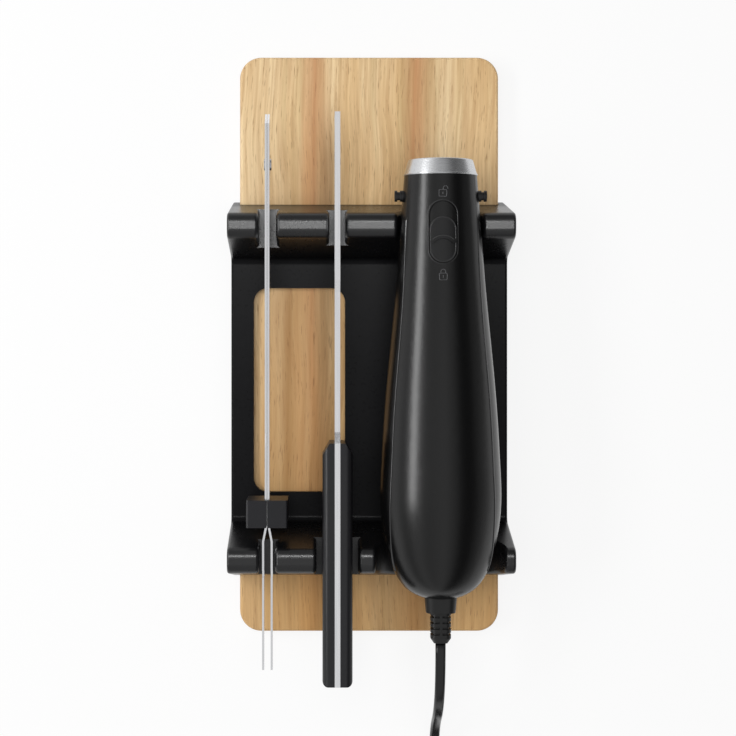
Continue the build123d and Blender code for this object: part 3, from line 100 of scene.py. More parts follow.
# A wave texture's pattern turns through this many radians in a metre when its scale is 1
wave_turn = 20.0

# The tray is matte up to the first height and polished from the second one
tray_matte_top = 18.0 * mm
tray_polished_top = 34.0 * mm

# How far the board's grain and its darker bands sway sideways, and how strong the bands are
grain_sway = 18.0 * mm
band_wander = 24.0 * mm
band_strength = 0.75

# Where along the board its golden fade starts and where it is whole
fade_start = 150.0 * mm
fade_end = -130.0 * mm


def tint(red, green, blue):
    """Linear colour of an sRGB triple: the sRGB curve undone for each channel."""
    channels = []
    for value in (red, green, blue):
        share = value / 255
        channels.append(share / 12.92 if share <= 0.04045 else ((share + 0.055) / 1.055) ** 2.4)
    return (*channels, 1.0)


def add(tree, kind, values=None, **settings):
    """A shader node with its settings and its unlinked socket values."""
    made = tree.nodes.new("ShaderNode" + kind)
    for key, value in settings.items():
        setattr(made, key, value)
    for key, value in (values or {}).items():
        made.inputs[key].default_value = value
    return made


def link(tree, source, target):
    """Join an output socket to an input socket."""
    tree.links.new(source, target)


def maths(tree, operation, *values, kind="Math"):
    """The output of a maths node: each value is a socket to link or a plain number."""
    made = add(tree, kind, operation=operation)
    for value, socket in zip(values, made.inputs):
        if isinstance(value, (int, float)):
            socket.default_value = value
        else:
            link(tree, value, socket)
    return made.outputs[0]


def map_value(tree, value, start, end, low=0.0, high=1.0, smooth=False):
    """A value's way from start to end, turned into a way from low to high and held there outside."""
    span = add(tree, "MapRange", {"From Min": start, "From Max": end, "To Min": low, "To Max": high},
               interpolation_type="SMOOTHSTEP" if smooth else "LINEAR")
    link(tree, value, span.inputs["Value"])
    return span.outputs["Result"]


def mixed_shader(tree, share, first, second):
    """A shader between two others by a share."""
    mix = add(tree, "MixShader")
    for source, socket in zip((share, first, second), mix.inputs):
        link(tree, source, socket)
    return mix.outputs[0]


def object_place(tree):
    """Object coordinates, in metres."""
    return add(tree, "TexCoord").outputs["Object"]


def object_axes(tree):
    """Object coordinates, one output for each axis."""
    axes = add(tree, "SeparateXYZ")
    link(tree, object_place(tree), axes.inputs[0])
    return axes.outputs


def group(name, inputs, outputs):
    """An empty node group with named sockets: its tree, its inputs' node and its outputs' node."""
    tree = bpy.data.node_groups.new(name, "ShaderNodeTree")
    for label, kind, value in inputs:
        socket = tree.interface.new_socket(label, in_out="INPUT", socket_type=kind)
        socket.default_value = value
    for label, kind in outputs:
        tree.interface.new_socket(label, in_out="OUTPUT", socket_type=kind)
    return tree, tree.nodes.new("NodeGroupInput"), tree.nodes.new("NodeGroupOutput")


def streak_group():
    """Noise stretched along one axis: object coordinates, swayed in X by a slow noise, times a scale vector.
    Its contrast is then raised between a low and a high value."""
    tree, given, result = group("streaks", [
        ("Scale", "NodeSocketVector", (1, 1, 1)), ("Detail", "NodeSocketFloat", 4.0),
        ("Low", "NodeSocketFloat", 0.3), ("High", "NodeSocketFloat", 0.7), ("Sway", "NodeSocketFloat", 0.0),
    ], [("Mask", "NodeSocketFloat")])
    place = object_place(tree)
    slow = add(tree, "TexNoise", {"Scale": sway_scale, "Detail": 1.0})
    link(tree, place, slow.inputs["Vector"])
    sway = maths(tree, "MULTIPLY", maths(tree, "SUBTRACT", slow.outputs["Fac"], 0.5), given.outputs["Sway"])
    shift = add(tree, "CombineXYZ")
    link(tree, sway, shift.inputs["X"])
    moved = maths(tree, "ADD", place, shift.outputs[0], kind="VectorMath")
    stretched = maths(tree, "MULTIPLY", moved, given.outputs["Scale"], kind="VectorMath")
    noise = add(tree, "TexNoise", {"Scale": 1.0, "Roughness": 0.6})
    link(tree, stretched, noise.inputs["Vector"])
    link(tree, given.outputs["Detail"], noise.inputs["Detail"])
    spread = map_value(tree, noise.outputs["Fac"], 0.0, 1.0)
    link(tree, given.outputs["Low"], spread.node.inputs["From Min"])
    link(tree, given.outputs["High"], spread.node.inputs["From Max"])
    link(tree, spread, result.inputs["Mask"])
    return tree


def rubbed_group():
    """Worn and handled patches: two sizes of noise multiplied, as a mask from 0 to 1."""
    tree, given, result = group("handled_patches", [("Scale", "NodeSocketFloat", 30.0)],
                                [("Mask", "NodeSocketFloat")])
    place = object_place(tree)
    coarse = add(tree, "TexNoise", {"Detail": 3.0, "Roughness": 0.5})
    fine = add(tree, "TexNoise", {"Scale": fine_patch_scale, "Detail": 2.0, "Roughness": 0.5})
    for noise in (coarse, fine):
        link(tree, place, noise.inputs["Vector"])
    link(tree, given.outputs["Scale"], coarse.inputs["Scale"])
    link(tree, maths(tree, "MULTIPLY", coarse.outputs["Fac"], fine.outputs["Fac"]), result.inputs["Mask"])
    return tree


def spark_group():
    """Moulding texture: a fine cell pattern's distance plus finer noise, as a height."""
    tree, given, result = group("moulded_texture", [("Scale", "NodeSocketFloat", 2500.0)],
                                [("Height", "NodeSocketFloat")])
    place = object_place(tree)
    cells = add(tree, "TexVoronoi")
    noise = add(tree, "TexNoise", {"Detail": 2.0})
    for texture in (cells, noise):
        link(tree, place, texture.inputs["Vector"])
        link(tree, given.outputs["Scale"], texture.inputs["Scale"])
    link(tree, maths(tree, "ADD", cells.outputs["Distance"], noise.outputs["Fac"]), result.inputs["Height"])
    return tree


STREAKS = streak_group()
RUBBED = rubbed_group()
SPARK = spark_group()


def finish(name, **fixed):
    """A material with one Principled shader and its fixed socket values."""
    material = bpy.data.materials.new(name)
    material.use_nodes = True
    tree = material.node_tree
    shader = tree.nodes["Principled BSDF"]
    for key, value in fixed.items():
        shader.inputs[key.replace("_", " ")].default_value = value
    return material, tree, shader


def use(tree, shared, **values):
    """A shared node group placed in a tree, with its input values."""
    placed = tree.nodes.new("ShaderNodeGroup")
    placed.node_tree = shared
    for key, value in values.items():
        placed.inputs[key].default_value = value
    return placed


def mixed_colour(tree, mask, first, second):
    """A colour between two others by a mask; either may be a socket or a plain colour."""
    mix = add(tree, "Mix", data_type="RGBA")
    link(tree, mask, mix.inputs["Factor"])
    for value, socket in ((first, mix.inputs[mix_first]), (second, mix.inputs[mix_second])):
        if isinstance(value, tuple):
            socket.default_value = value
        else:
            link(tree, value, socket)
    return mix.outputs[mix_result]


def toned(tree, mask, dark, light):
    """A colour between two sRGB triples by a mask."""
    return mixed_colour(tree, mask, tint(*dark), tint(*light))


def spread_value(tree, mask, low, high):
    """A mask from 0 to 1 turned into a value between two limits."""
    return map_value(tree, mask, 0.0, 1.0, low, high)


def bump(tree, shader, height, strength, distance):
    """A height joined to a shader's normal."""
    made = add(tree, "Bump", {"Strength": strength, "Distance": distance})
    link(tree, height, made.inputs["Height"])
    link(tree, made.outputs["Normal"], shader.inputs["Normal"])


def moulded_plastic(name, dark, light, smooth, rough, texture_scale=2500.0, texture_depth=0.02, shine=0.45):
    """Moulded plastic: handled patches shift its colour and gloss, over a fine moulding texture."""
    material, tree, shader = finish(name, Specular_IOR_Level=shine)
    patches = use(tree, RUBBED, Scale=patch_scale)
    link(tree, toned(tree, patches.outputs["Mask"], dark, light), shader.inputs["Base Color"])
    link(tree, spread_value(tree, patches.outputs["Mask"], smooth, rough), shader.inputs["Roughness"])
    texture = use(tree, SPARK, Scale=texture_scale)
    bump(tree, shader, texture.outputs["Height"], 0.25, texture_depth * mm)
    return material


def tray_plastic():
    """The tray's plastic: a matte floor below rails that handling has polished, told apart by height."""
    material = moulded_plastic("tray_black", (11, 11, 12), (18, 18, 20), 0.26, 0.34, 1800.0, 0.02)
    tree = material.node_tree
    shine = map_value(tree, object_axes(tree)["Z"], tray_matte_top, tray_polished_top, 0.06, 0.5, smooth=True)
    link(tree, shine, tree.nodes["Principled BSDF"].inputs["Specular IOR Level"])
    return material


def drawn_metal(name, dark, light, along, smooth, rough):
    """Drawn or ground metal: fine streaks along one axis shift its colour, gloss and surface."""
    material, tree, shader = finish(name, Metallic=1.0)
    streaks = use(tree, STREAKS, Scale=along, Detail=5.0, Low=0.3, High=0.7)
    link(tree, toned(tree, streaks.outputs["Mask"], dark, light), shader.inputs["Base Color"])
    link(tree, spread_value(tree, streaks.outputs["Mask"], smooth, rough), shader.inputs["Roughness"])
    bump(tree, shader, streaks.outputs["Mask"], 0.15, 0.01 * mm)
    return material


def layered(name, dark, light, direction, bands_per_metre, metallic, rough):
    """Stacked sheets or wound wire: a wave across the layers shades and raises each one."""
    material, tree, shader = finish(name, Metallic=metallic, Roughness=rough)
    wave = add(tree, "TexWave", {"Scale": bands_per_metre * 2 * pi / wave_turn, "Distortion": 0.6,
                                 "Detail Scale": 40.0}, bands_direction=direction)
    link(tree, object_place(tree), wave.inputs["Vector"])
    link(tree, toned(tree, wave.outputs["Fac"], dark, light), shader.inputs["Base Color"])
    bump(tree, shader, wave.outputs["Fac"], 0.5, 0.1 * mm)
    return material


# The board's darker bands: middle and half width in X, reach along the board and colour. The first two are the
# wood's own figure; the short third one is painted shadow of the tray's rail and the blades on the board in the
# tray's window
wood_and_shadow_bands = (
    (-32.5 * mm, 10.0 * mm, 1.0, tint(196, 132, 84)),
    (30.0 * mm, 13.0 * mm, 1.0, tint(196, 132, 84)),
    # Painted shadow, not grain: the board darkened where the tray's window shows it
    (-48.0 * mm, 16.0 * mm, 0.1, tint(142, 100, 58)),
)


def oiled_wood():
    """Board wood: broad tone, pale streaks, darker bands (one of them painted shadow), a golden fade to the
    front, grain and pores.
    """
    material, tree, shader = finish("oiled_wood", IOR=1.45)

    def figure(scale, detail, low, high, sway=grain_sway):
        return use(tree, STREAKS, Scale=scale, Detail=detail, Low=low, High=high, Sway=sway).outputs["Mask"]

    broad = figure((34.0, 2.2, 20.0), 3.0, 0.3, 0.72)
    pale_streaks = figure((90.0, 3.0, 60.0), 4.0, 0.5, 0.75)
    grain = figure((480.0, 16.0, 300.0), 6.0, 0.36, 0.66)
    pores = figure((1300.0, 90.0, 900.0), 2.0, 0.60, 0.72)
    wander = figure((60.0, 3.0, 40.0), 2.0, 0.0, 1.0, sway=0.0)
    axes = object_axes(tree)
    colour = toned(tree, broad, (229, 188, 130), (250, 226, 182))
    colour = mixed_colour(tree, spread_value(tree, pale_streaks, 0.0, 0.6), colour, tint(196, 176, 126))
    swayed = maths(tree, "MULTIPLY_ADD", wander, band_wander, axes["X"])
    along = maths(tree, "ABSOLUTE", axes["Y"])
    # Each band darkens the colour; the third paints the tray's shadow in its window
    for middle, half_width, reach, shade in wood_and_shadow_bands:
        away = maths(tree, "ABSOLUTE", maths(tree, "SUBTRACT", swayed, middle + band_wander / 2))
        across = map_value(tree, away, half_width, 0.0, 0.0, band_strength)
        ends = map_value(tree, along, 1.5 * reach, 0.5 * reach)
        colour = mixed_colour(tree, maths(tree, "MULTIPLY", across, ends), colour, shade)
    fade = map_value(tree, axes["Y"], fade_start, fade_end, 0.0, 0.62)
    colour = mixed_colour(tree, fade, colour, tint(206, 156, 90))
    colour = mixed_colour(tree, spread_value(tree, grain, 0.42, 0.0), colour, tint(172, 122, 72))
    colour = mixed_colour(tree, spread_value(tree, pores, 0.0, 0.55), colour, tint(138, 92, 54))
    link(tree, colour, shader.inputs["Base Color"])
    link(tree, spread_value(tree, grain, 0.52, 0.42), shader.inputs["Roughness"])
    bump(tree, shader, grain, 0.2, 0.05 * mm)
    return material


black_tray = tray_plastic()
black_handle = moulded_plastic("handle_black", (7, 7, 7), (12, 12, 13), 0.24, 0.31, 3000.0, 0.01)
black_control = moulded_plastic("control_black", (13, 13, 14), (21, 21, 22), 0.28, 0.36, 2600.0, 0.015)
black_hub = moulded_plastic("hub_black", (20, 20, 23), (31, 31, 35), 0.36, 0.46, 2200.0, 0.02, 0.35)
black_scale = moulded_plastic("scale_black", (22, 22, 24), (35, 35, 38), 0.32, 0.42, 2200.0, 0.02, 0.4)
black_rubber = moulded_plastic("relief_rubber", (14, 14, 14), (24, 24, 24), 0.4, 0.54, 2000.0, 0.04)
grey_rubber = moulded_plastic("foot_rubber", (40, 40, 40), (58, 58, 58), 0.7, 0.85, 1500.0, 0.06)
black_cord = moulded_plastic("cord_black", (10, 10, 11), (18, 18, 19), 0.18, 0.3, 1500.0, 0.02)
black_plug = moulded_plastic("plug_black", (16, 16, 17), (26, 26, 27), 0.32, 0.46, 1800.0, 0.03)
# Lighter, glossier black for the seam beads and lock rims: its lighter tone is painted highlight on these edges,
# added to their real gloss
edge_highlight_black = moulded_plastic("edge_highlight_black", (26, 26, 27), (40, 40, 41), 0.16, 0.24, 3000.0, 0.005, 0.9)
mark_grey = moulded_plastic("lock_mark_grey", (74, 74, 76), (96, 96, 98), 0.3, 0.42)
nylon = moulded_plastic("natural_nylon", (222, 216, 198), (236, 232, 218), 0.42, 0.55)
gear_white = moulded_plastic("gear_white", (228, 224, 210), (240, 238, 228), 0.34, 0.46)
chassis_grey = moulded_plastic("chassis_grey", (58, 60, 64), (76, 78, 82), 0.42, 0.58)
fan_black = moulded_plastic("fan_black", (34, 34, 36), (46, 46, 48), 0.4, 0.55)
switch_black = moulded_plastic("switch_black", (26, 26, 28), (40, 40, 42), 0.34, 0.5)
diode_black = moulded_plastic("diode_black", (30, 30, 32), (44, 44, 46), 0.36, 0.5)
capacitor_amber = moulded_plastic("capacitor_amber", (196, 132, 36), (214, 152, 52), 0.22, 0.34)
laminate = moulded_plastic("circuit_laminate", (166, 132, 74), (186, 152, 92), 0.4, 0.55)
wire_black = moulded_plastic("wire_black", (26, 26, 28), (40, 40, 42), 0.3, 0.42)
carbon = moulded_plastic("brush_carbon", (44, 44, 46), (62, 62, 64), 0.6, 0.75, 2600.0, 0.05)

blade_steel = drawn_metal("blade_steel", (232, 233, 236), (250, 250, 251), (900.0, 30.0, 900.0), 0.16, 0.28)
fork_steel = drawn_metal("fork_steel", (234, 235, 238), (251, 251, 252), (900.0, 24.0, 900.0), 0.14, 0.26)
cap_steel = drawn_metal("cap_steel", (196, 197, 199), (214, 215, 217), (12.0, 2600.0, 2600.0), 0.24, 0.32)
rivet_steel = drawn_metal("rivet_steel", (188, 190, 194), (222, 223, 226), (300.0, 300.0, 300.0), 0.2, 0.32)
screw_steel = drawn_metal("screw_steel", (150, 152, 156), (188, 190, 194), (600.0, 600.0, 60.0), 0.3, 0.42)
spring_steel = drawn_metal("spring_steel", (160, 162, 166), (200, 202, 206), (700.0, 700.0, 700.0),
                           0.22, 0.34)
ground_steel = drawn_metal("ground_steel", (168, 170, 174), (206, 208, 211), (900.0, 60.0, 900.0), 0.16, 0.26)
bronze = drawn_metal("sintered_bronze", (176, 128, 66), (204, 156, 88), (1500.0, 1500.0, 1500.0), 0.4, 0.55)
brass = drawn_metal("stamped_brass", (200, 164, 84), (224, 190, 112), (400.0, 60.0, 400.0), 0.24, 0.36)
core_sheets = layered("core_sheets", (70, 72, 76), (118, 120, 124), "Y", 1600.0, 0.7, 0.45)
wound_copper = layered("wound_copper", (122, 58, 30), (196, 108, 62), "Z", 1400.0, 0.8, 0.35)
turned_copper = layered("turned_copper", (184, 112, 74), (214, 142, 100), "Y", 2500.0, 1.0, 0.25)
board_wood = oiled_wood()

node_finishes = {
    "cutting_board": board_wood, "tray_deck": black_tray, "tray_feet": grey_rubber,
    "left_blade": blade_steel, "right_blade": blade_steel, "blade_rivet": rivet_steel,
    "left_blade_hub": black_hub, "right_blade_hub": black_hub,
    "fork_steel": fork_steel, "fork_scale_left": black_scale, "fork_scale_right": black_scale,
    "fork_rivets": rivet_steel, "bottom_shell": black_handle, "top_cover": black_handle,
    "nose_cap": cap_steel, "case_screws": screw_steel,
    "lock_slider": black_control, "lock_slider_plate": black_control,
    "release_button_left": black_control, "release_button_right": black_control,
    "release_spring_left": spring_steel, "release_spring_right": spring_steel,
    "trigger": black_control, "trigger_pin": ground_steel, "trigger_spring": spring_steel,
    "trigger_switch": switch_black, "carrier_guide": chassis_grey,
    "left_carrier": nylon, "right_carrier": nylon,
    "left_blade_latch": spring_steel, "right_blade_latch": spring_steel, "gear_chassis": chassis_grey,
    "gear_axle": ground_steel, "front_bush": bronze, "rear_bush": bronze, "worm_wheel": gear_white,
    "worm_shaft": ground_steel, "stator_core": core_sheets, "field_coils": wound_copper,
    "armature_core": core_sheets, "armature_windings": wound_copper, "commutator": turned_copper,
    "cooling_fan": fan_black, "rear_bracket": chassis_grey, "brush_holders": brass, "carbon_brushes": carbon,
    "brush_springs": spring_steel, "circuit_board": laminate, "capacitor": capacitor_amber,
    "rectifier_diodes": diode_black, "lead_wires": wire_black, "cord_clamp": chassis_grey,
    "clamp_screws": screw_steel, "strain_relief": black_rubber, "plug_body": black_plug, "plug_prongs": brass,
    "power_cord": black_cord, "cord_coil": black_cord,
}
for name, material in node_finishes.items():
    slots = nodes[name].data.materials
    slots.clear()
    slots.append(material)


# Cord: the twin section's size in metres, how deep and wide its waist is, and how sharply its flats start
cord_width = 6.0 * mm
cord_thickness = 3.2 * mm
cord_waist = 0.22
cord_waist_share = 0.12
cord_flat_sharpness = 4
cord_section_steps = 28

# The cord's route in millimetres: its first corners, then the coil's turns, then its end, as one smooth spline
cord_points = [
    (40.0, -144.6, 62.0), (40.0, -165.2, 62.0), (40.0, -189.0, 46.0), (40.0, -204.0, 17.0),
    (40.0, -231.5, 1.6), (40.0, -262.0, 1.6),
]
coil_radius = 44.0
coil_pitch = 8.0
coil_turns = 5
coil_ease = 0.1
coil_climb_turns = 0.4
coil_centre = (84.0, -268.0)
coil_heights = (1.6, 6.0)
cord_end = (40.0, -294.0, 6.0)
points_per_turn = 24
line_steps = 6


def coil_line(turn):
    """The coil's line by its turn: a circle whose radius shrinks by a pitch each turn to the middle and grows
    again, eased at both ends, and whose height climbs from one layer to the next about the middle."""
    half = coil_turns / 2
    way = np.minimum(turn, coil_turns - turn)
    inward = np.where(way < coil_ease, way ** 2 / (2 * coil_ease), way - coil_ease / 2)
    inward = np.where(way > half - coil_ease, half - coil_ease - (half - way) ** 2 / (2 * coil_ease), inward)
    radius = coil_radius - coil_pitch * inward
    share = np.clip((turn - half) / coil_climb_turns + 0.5, 0, 1)
    height = coil_heights[0] + (coil_heights[1] - coil_heights[0]) * share ** 2 * (3 - 2 * share)
    angle = pi + 2 * pi * turn
    x = coil_centre[0] + radius * np.cos(angle)
    y = coil_centre[1] + radius * np.sin(angle)
    return np.stack([x, y, height], -1)


turns = np.linspace(0, coil_turns, coil_turns * points_per_turn + 1)
route = np.concatenate([np.array(cord_points), coil_line(turns), np.array([cord_end])]) * mm


def smooth_line(name, points):
    """The points that a smooth spline passes through, as Blender works it out for a curve with no bevel."""
    curve = bpy.data.curves.new(name, "CURVE")
    curve.dimensions = "3D"
    curve.resolution_u = line_steps
    spline = curve.splines.new("NURBS")
    spline.points.add(len(points) - 1)
    spline.points.foreach_set("co", np.column_stack([points, np.ones(len(points))]).ravel())
    spline.order_u = 3
    spline.use_endpoint_u = True
    drawn = bpy.data.objects.new(name, curve)
    bpy.context.scene.collection.objects.link(drawn)
    read = bpy.data.meshes.new_from_object(drawn)
    line = np.empty(len(read.vertices) * 3)
    read.vertices.foreach_get("co", line)
    bpy.data.objects.remove(drawn)
    bpy.data.meshes.remove(read)
    return line.reshape(-1, 3)


def carried_section(line, section):
    """A flat section carried along a line: its first axis lies level across the line, its second stands on it.
    The result is an array of points [place on the line, corner of the section, xyz]."""
    ahead = np.gradient(line, axis=0)
    ahead /= np.linalg.norm(ahead, axis=1, keepdims=True)
    side = np.cross(ahead, (0, 0, 1))
    side /= np.linalg.norm(side, axis=1, keepdims=True)
    rise = np.cross(side, ahead)
    return line[:, None] + section[None, :, :1] * side[:, None] + section[None, :, 1:] * rise[:, None]


def twin_section(width, thickness):
    """Twin cord's section: an obround by angle, drawn in at the middle by a bell-shaped waist."""
    angle = np.linspace(0, 2 * pi, cord_section_steps, endpoint=False)
    flat = np.clip(np.cos(angle) * cord_flat_sharpness, -1, 1) * (width - thickness) / 2
    across = np.cos(angle) * thickness / 2 + flat
    waist = cord_waist * np.exp(-(across / (cord_waist_share * width)) ** 2)
    return np.stack([across, np.sin(angle) * thickness / 2 * (1 - waist)], -1)


cord_line = smooth_line("cord_line", route)
cord_surface = carried_section(cord_line, twin_section(cord_width, cord_thickness))
cord = grid_piece("flat_cord", cord_surface, "knife", black_cord, caps=True)
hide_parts("power_cord", "cord_coil")


# The handle's middle line, its nose, and its height as a share of its width
knife_x = 40.0 * mm
knife_z = 62.0 * mm
nose_y = 135.4 * mm
handle_slimness = 58.0 / 70.2

# Raised lines: their width and height, how far their edges sink in, and the height that rays start from
stroke_width = 0.5 * mm
stroke_rise = 0.22 * mm
stroke_sink = 0.05 * mm
stroke_columns = 7
ray_start = 0.2

# Padlock marks, raised on the cover above and below the lock slide
mark_width = 4.4 * mm
mark_height = 3.8 * mm
mark_corner = 0.6 * mm
mark_keyhole = 0.7 * mm
mark_shackle = 1.35 * mm
mark_leg = 0.9 * mm
mark_open_leg = 0.45
mark_open_lean = 1.5 * mm
mark_steps = 12


def node_below(node, x, y):
    """Whether a node lies under a place, and where its top is, found by a ray straight down."""
    hit, place = nodes[node].ray_cast((x, y, ray_start), (0, 0, -1))[:2]
    return hit, place[2] if hit else 0.0


def raised_stroke(plan, closed, node):
    """A half-round bead on a node, along a line drawn in X and Y: its height is a half sine across it."""
    ahead = np.roll(plan, -1, 0) - np.roll(plan, 1, 0) if closed else np.gradient(plan, axis=0)
    ahead /= np.linalg.norm(ahead, axis=1, keepdims=True)
    side = np.stack([-ahead[:, 1], ahead[:, 0]], -1)
    across = np.linspace(-0.5, 0.5, stroke_columns)
    flat = plan[:, None] + side[:, None] * across[None, :, None] * stroke_width
    ground = np.array([[node_below(node, x, y)[1] for x, y in row] for row in flat])
    rise = np.cos(across * pi) * stroke_rise - stroke_sink
    return np.concatenate([flat, (ground + rise)[..., None]], -1)


def arch(x, y, radius, leg, lean):
    """A shackle's line: a leg up, a half circle and a leg down. An open one leans aside and its leg is short."""
    angle = np.linspace(pi, 0, mark_steps)
    top = np.stack([x + lean + radius * np.cos(angle), y + leg + radius * np.sin(angle)], -1)
    first = np.array([[x + lean - radius, y]])
    last = np.array([[x + lean + radius, y + (leg * mark_open_leg if lean else 0)]])
    return np.concatenate([first, top, last])


def rounded_box(x, y, width, height, corner):
    """A closed rounded rectangle's line: four quarter circles about its corners' centres."""
    angle = np.linspace(0, pi / 2, 5)
    parts = []
    for turn, (sx, sy) in enumerate(((1, 1), (-1, 1), (-1, -1), (1, -1))):
        around = angle + turn * pi / 2
        parts.append(np.stack([x + sx * (width / 2 - corner) + corner * np.cos(around),
                               y + sy * (height / 2 - corner) + corner * np.sin(around)], -1))
    return np.concatenate(parts)


def stroke_piece(name, strokes, node, body, material):
    """One piece from several raised lines that lie on a node."""
    points, faces, start = [], [], 0
    for plan, closed in strokes:
        surface = raised_stroke(plan, closed, node)
        rows, columns = surface.shape[:2]
        faces += (grid_quads(rows, columns, closed, False)[:, ::-1] + start).tolist()
        points.append(surface.reshape(-1, 3))
        start += rows * columns
    return mesh_piece(name, np.concatenate(points), faces, body, material)


def lock_mark(name, y, lean):
    """A padlock drawn in raised lines: its body, its keyhole and its shackle."""
    box_y = y - mark_shackle
    keyhole = ((knife_x, box_y - mark_keyhole), (knife_x, box_y + mark_keyhole))
    strokes = [(rounded_box(knife_x, box_y, mark_width, mark_height, mark_corner), True),
               (np.linspace(*keyhole, 5), False),
               (arch(knife_x, box_y + mark_height / 2, mark_shackle, mark_leg, lean), False)]
    return stroke_piece(name, strokes, "top_cover", "knife", mark_grey)


# Rims of the lock slide and of its recess, and the edge of the slide's thumb ridge, as a part of a circle, in a
# lighter black that paints a highlight along these edges
slide_y, slide_length, slide_width = 88.45 * mm, 26.3 * mm, 15.4 * mm
recess_y, recess_length, recess_width = 92.75 * mm, 35.5 * mm, 16.0 * mm
ridge_centre, ridge_radius = 81.68 * mm, 8.9 * mm
ridge_span = (0.26 * pi, 0.74 * pi)
rim_inset = 0.5 * mm
rim_steps = 96
corner_sharpness = 6


def obround(y, length, width):
    """A closed slot outline about the handle's middle line: two half circles joined by straight sides."""
    angle = np.linspace(0, 2 * pi, rim_steps, endpoint=False)
    straight = np.clip(np.sin(angle) * corner_sharpness, -1, 1) * (length - width) / 2
    return np.stack([knife_x + np.cos(angle) * width / 2, y + np.sin(angle) * width / 2 + straight], -1)


ridge_angle = np.linspace(*ridge_span, 30)
ridge_line = np.stack([knife_x + np.cos(ridge_angle) * ridge_radius,
                       ridge_centre + np.sin(ridge_angle) * ridge_radius], -1)
slide_rim = obround(slide_y, slide_length - 2 * rim_inset, slide_width - 2 * rim_inset)
recess_rim = obround(recess_y, recess_length + 2 * rim_inset, recess_width + 2 * rim_inset)
stroke_piece("lock_slide_rim", [(slide_rim, True), (ridge_line[::-1], False)], "lock_slider", "lock",
             edge_highlight_black)
stroke_piece("lock_recess_rim", [(recess_rim, True)], "top_cover", "knife", edge_highlight_black)

# Beads on the handle: the lower shell's polished lip along both seams, in a lighter black that paints a
# highlight along them, and the nose cap's rolled rear edge
seam_front, seam_back = 100.0 * mm, -102.0 * mm
seam_rows = 80
seam_taper_rows = 8
seam_across = np.linspace(-0.5, 0.5, 7)
seam_width = 0.9 * mm
seam_outward = 0.45
seam_rise = 0.34 * mm
seam_sink = 0.12 * mm
seam_slope = 0.55
edge_search = 60.0 * mm
edge_halvings = 16
edge_inset = 0.05 * mm
cap_back = 8.8 * mm
cap_half_width = 21.2 * mm
cap_bead_rise = 0.3 * mm
cap_bead_width = 0.9 * mm


def cover_edge(y, side):
    """Where the top cover ends at a place along the handle, found by halving the step."""
    low, high = 0.0, edge_search
    for _ in range(edge_halvings):
        middle = (low + high) / 2
        hit = node_below("top_cover", knife_x + side * middle, y)[0]
        low, high = (middle, high) if hit else (low, middle)
    x = knife_x + side * low
    return x, y, node_below("top_cover", x - side * edge_inset, y)[1]


def seam_bead(name, side):
    """A half-round bead outside the cover's edge: across it a half sine, tapered off at both ends."""
    line = np.array([cover_edge(y, side) for y in np.linspace(seam_front, seam_back, seam_rows)])
    row = np.arange(seam_rows)
    ends = np.minimum(1, np.minimum(row, row[::-1]) / seam_taper_rows)
    shift = (seam_across + seam_outward) * seam_width
    rise = np.cos(seam_across * pi) * seam_rise - seam_sink
    surface = line[:, None] + np.array([side, 0.0, 0.0]) * shift[None, :, None]
    surface[..., 2] += rise[None] * ends[:, None] - np.abs(shift)[None] * seam_slope
    if side > 0:
        surface = surface[:, ::-1]
    return grid_piece(name, surface, "knife", edge_highlight_black, closed_columns=False)


def cap_bead(name):
    """A polished ring about the nose cap: an ellipse in X and Z by angle, with a half-round section."""
    angle = np.linspace(0, 2 * pi, 120, endpoint=False)
    across = np.linspace(0, pi, 9)
    reach = cap_half_width + np.sin(across) * cap_bead_rise
    surface = np.empty((angle.size, across.size, 3))
    surface[..., 0] = knife_x + np.cos(angle)[:, None] * reach
    surface[..., 1] = nose_y - cap_back - np.cos(across) * cap_bead_width / 2
    surface[..., 2] = knife_z + np.sin(angle)[:, None] * reach * handle_slimness
    return grid_piece(name, surface, "knife", cap_steel, closed_rows=True, closed_columns=False)


seam_bead("seam_bead_left", -1)
seam_bead("seam_bead_right", 1)
cap_bead("cap_edge_bead")

lock_mark("open_lock_mark", 116.2 * mm, mark_open_lean)
lock_mark("closed_lock_mark", 68.6 * mm, 0.0)


# Floor, world and lamps
floor_half = 12.0
floor_glow = 0.86
floor_corners = [(floor_half * x, floor_half * y, 0) for x, y in ((-1, -1), (1, -1), (1, 1), (-1, 1))]


def floor_material():
    """Pale floor: white to the camera and to reflections, with enough of its lit surface to show shadow."""
    material = bpy.data.materials.new("pale_floor")
    material.use_nodes = True
    tree = material.node_tree
    tree.nodes.clear()
    output = add(tree, "OutputMaterial")
    lit = add(tree, "BsdfDiffuse", {"Color": (0.92, 0.92, 0.92, 1)})
    glow = add(tree, "Emission", {"Color": (1, 1, 1, 1), "Strength": 1.0})
    path = add(tree, "LightPath")
    seen = maths(tree, "MAXIMUM", path.outputs["Is Camera Ray"], path.outputs["Is Glossy Ray"])
    share = maths(tree, "MULTIPLY", seen, floor_glow)
    link(tree, mixed_shader(tree, share, lit.outputs[0], glow.outputs[0]), output.inputs["Surface"])
    return material


floor_mesh = bpy.data.meshes.new("floor")
floor_mesh.from_pydata(floor_corners, [], [(0, 1, 2, 3)])
floor_mesh.materials.append(floor_material())
floor = bpy.data.objects.new("floor", floor_mesh)
bpy.context.scene.collection.objects.link(floor)

world = bpy.data.worlds.new("studio")
bpy.context.scene.world = world
world.use_nodes = True
sky = world.node_tree
sky.nodes.clear()
sky_output = add(sky, "OutputWorld")
sky_place = add(sky, "TexCoord")
sky_axes = add(sky, "SeparateXYZ")
link(sky, sky_place.outputs["Generated"], sky_axes.inputs[0])


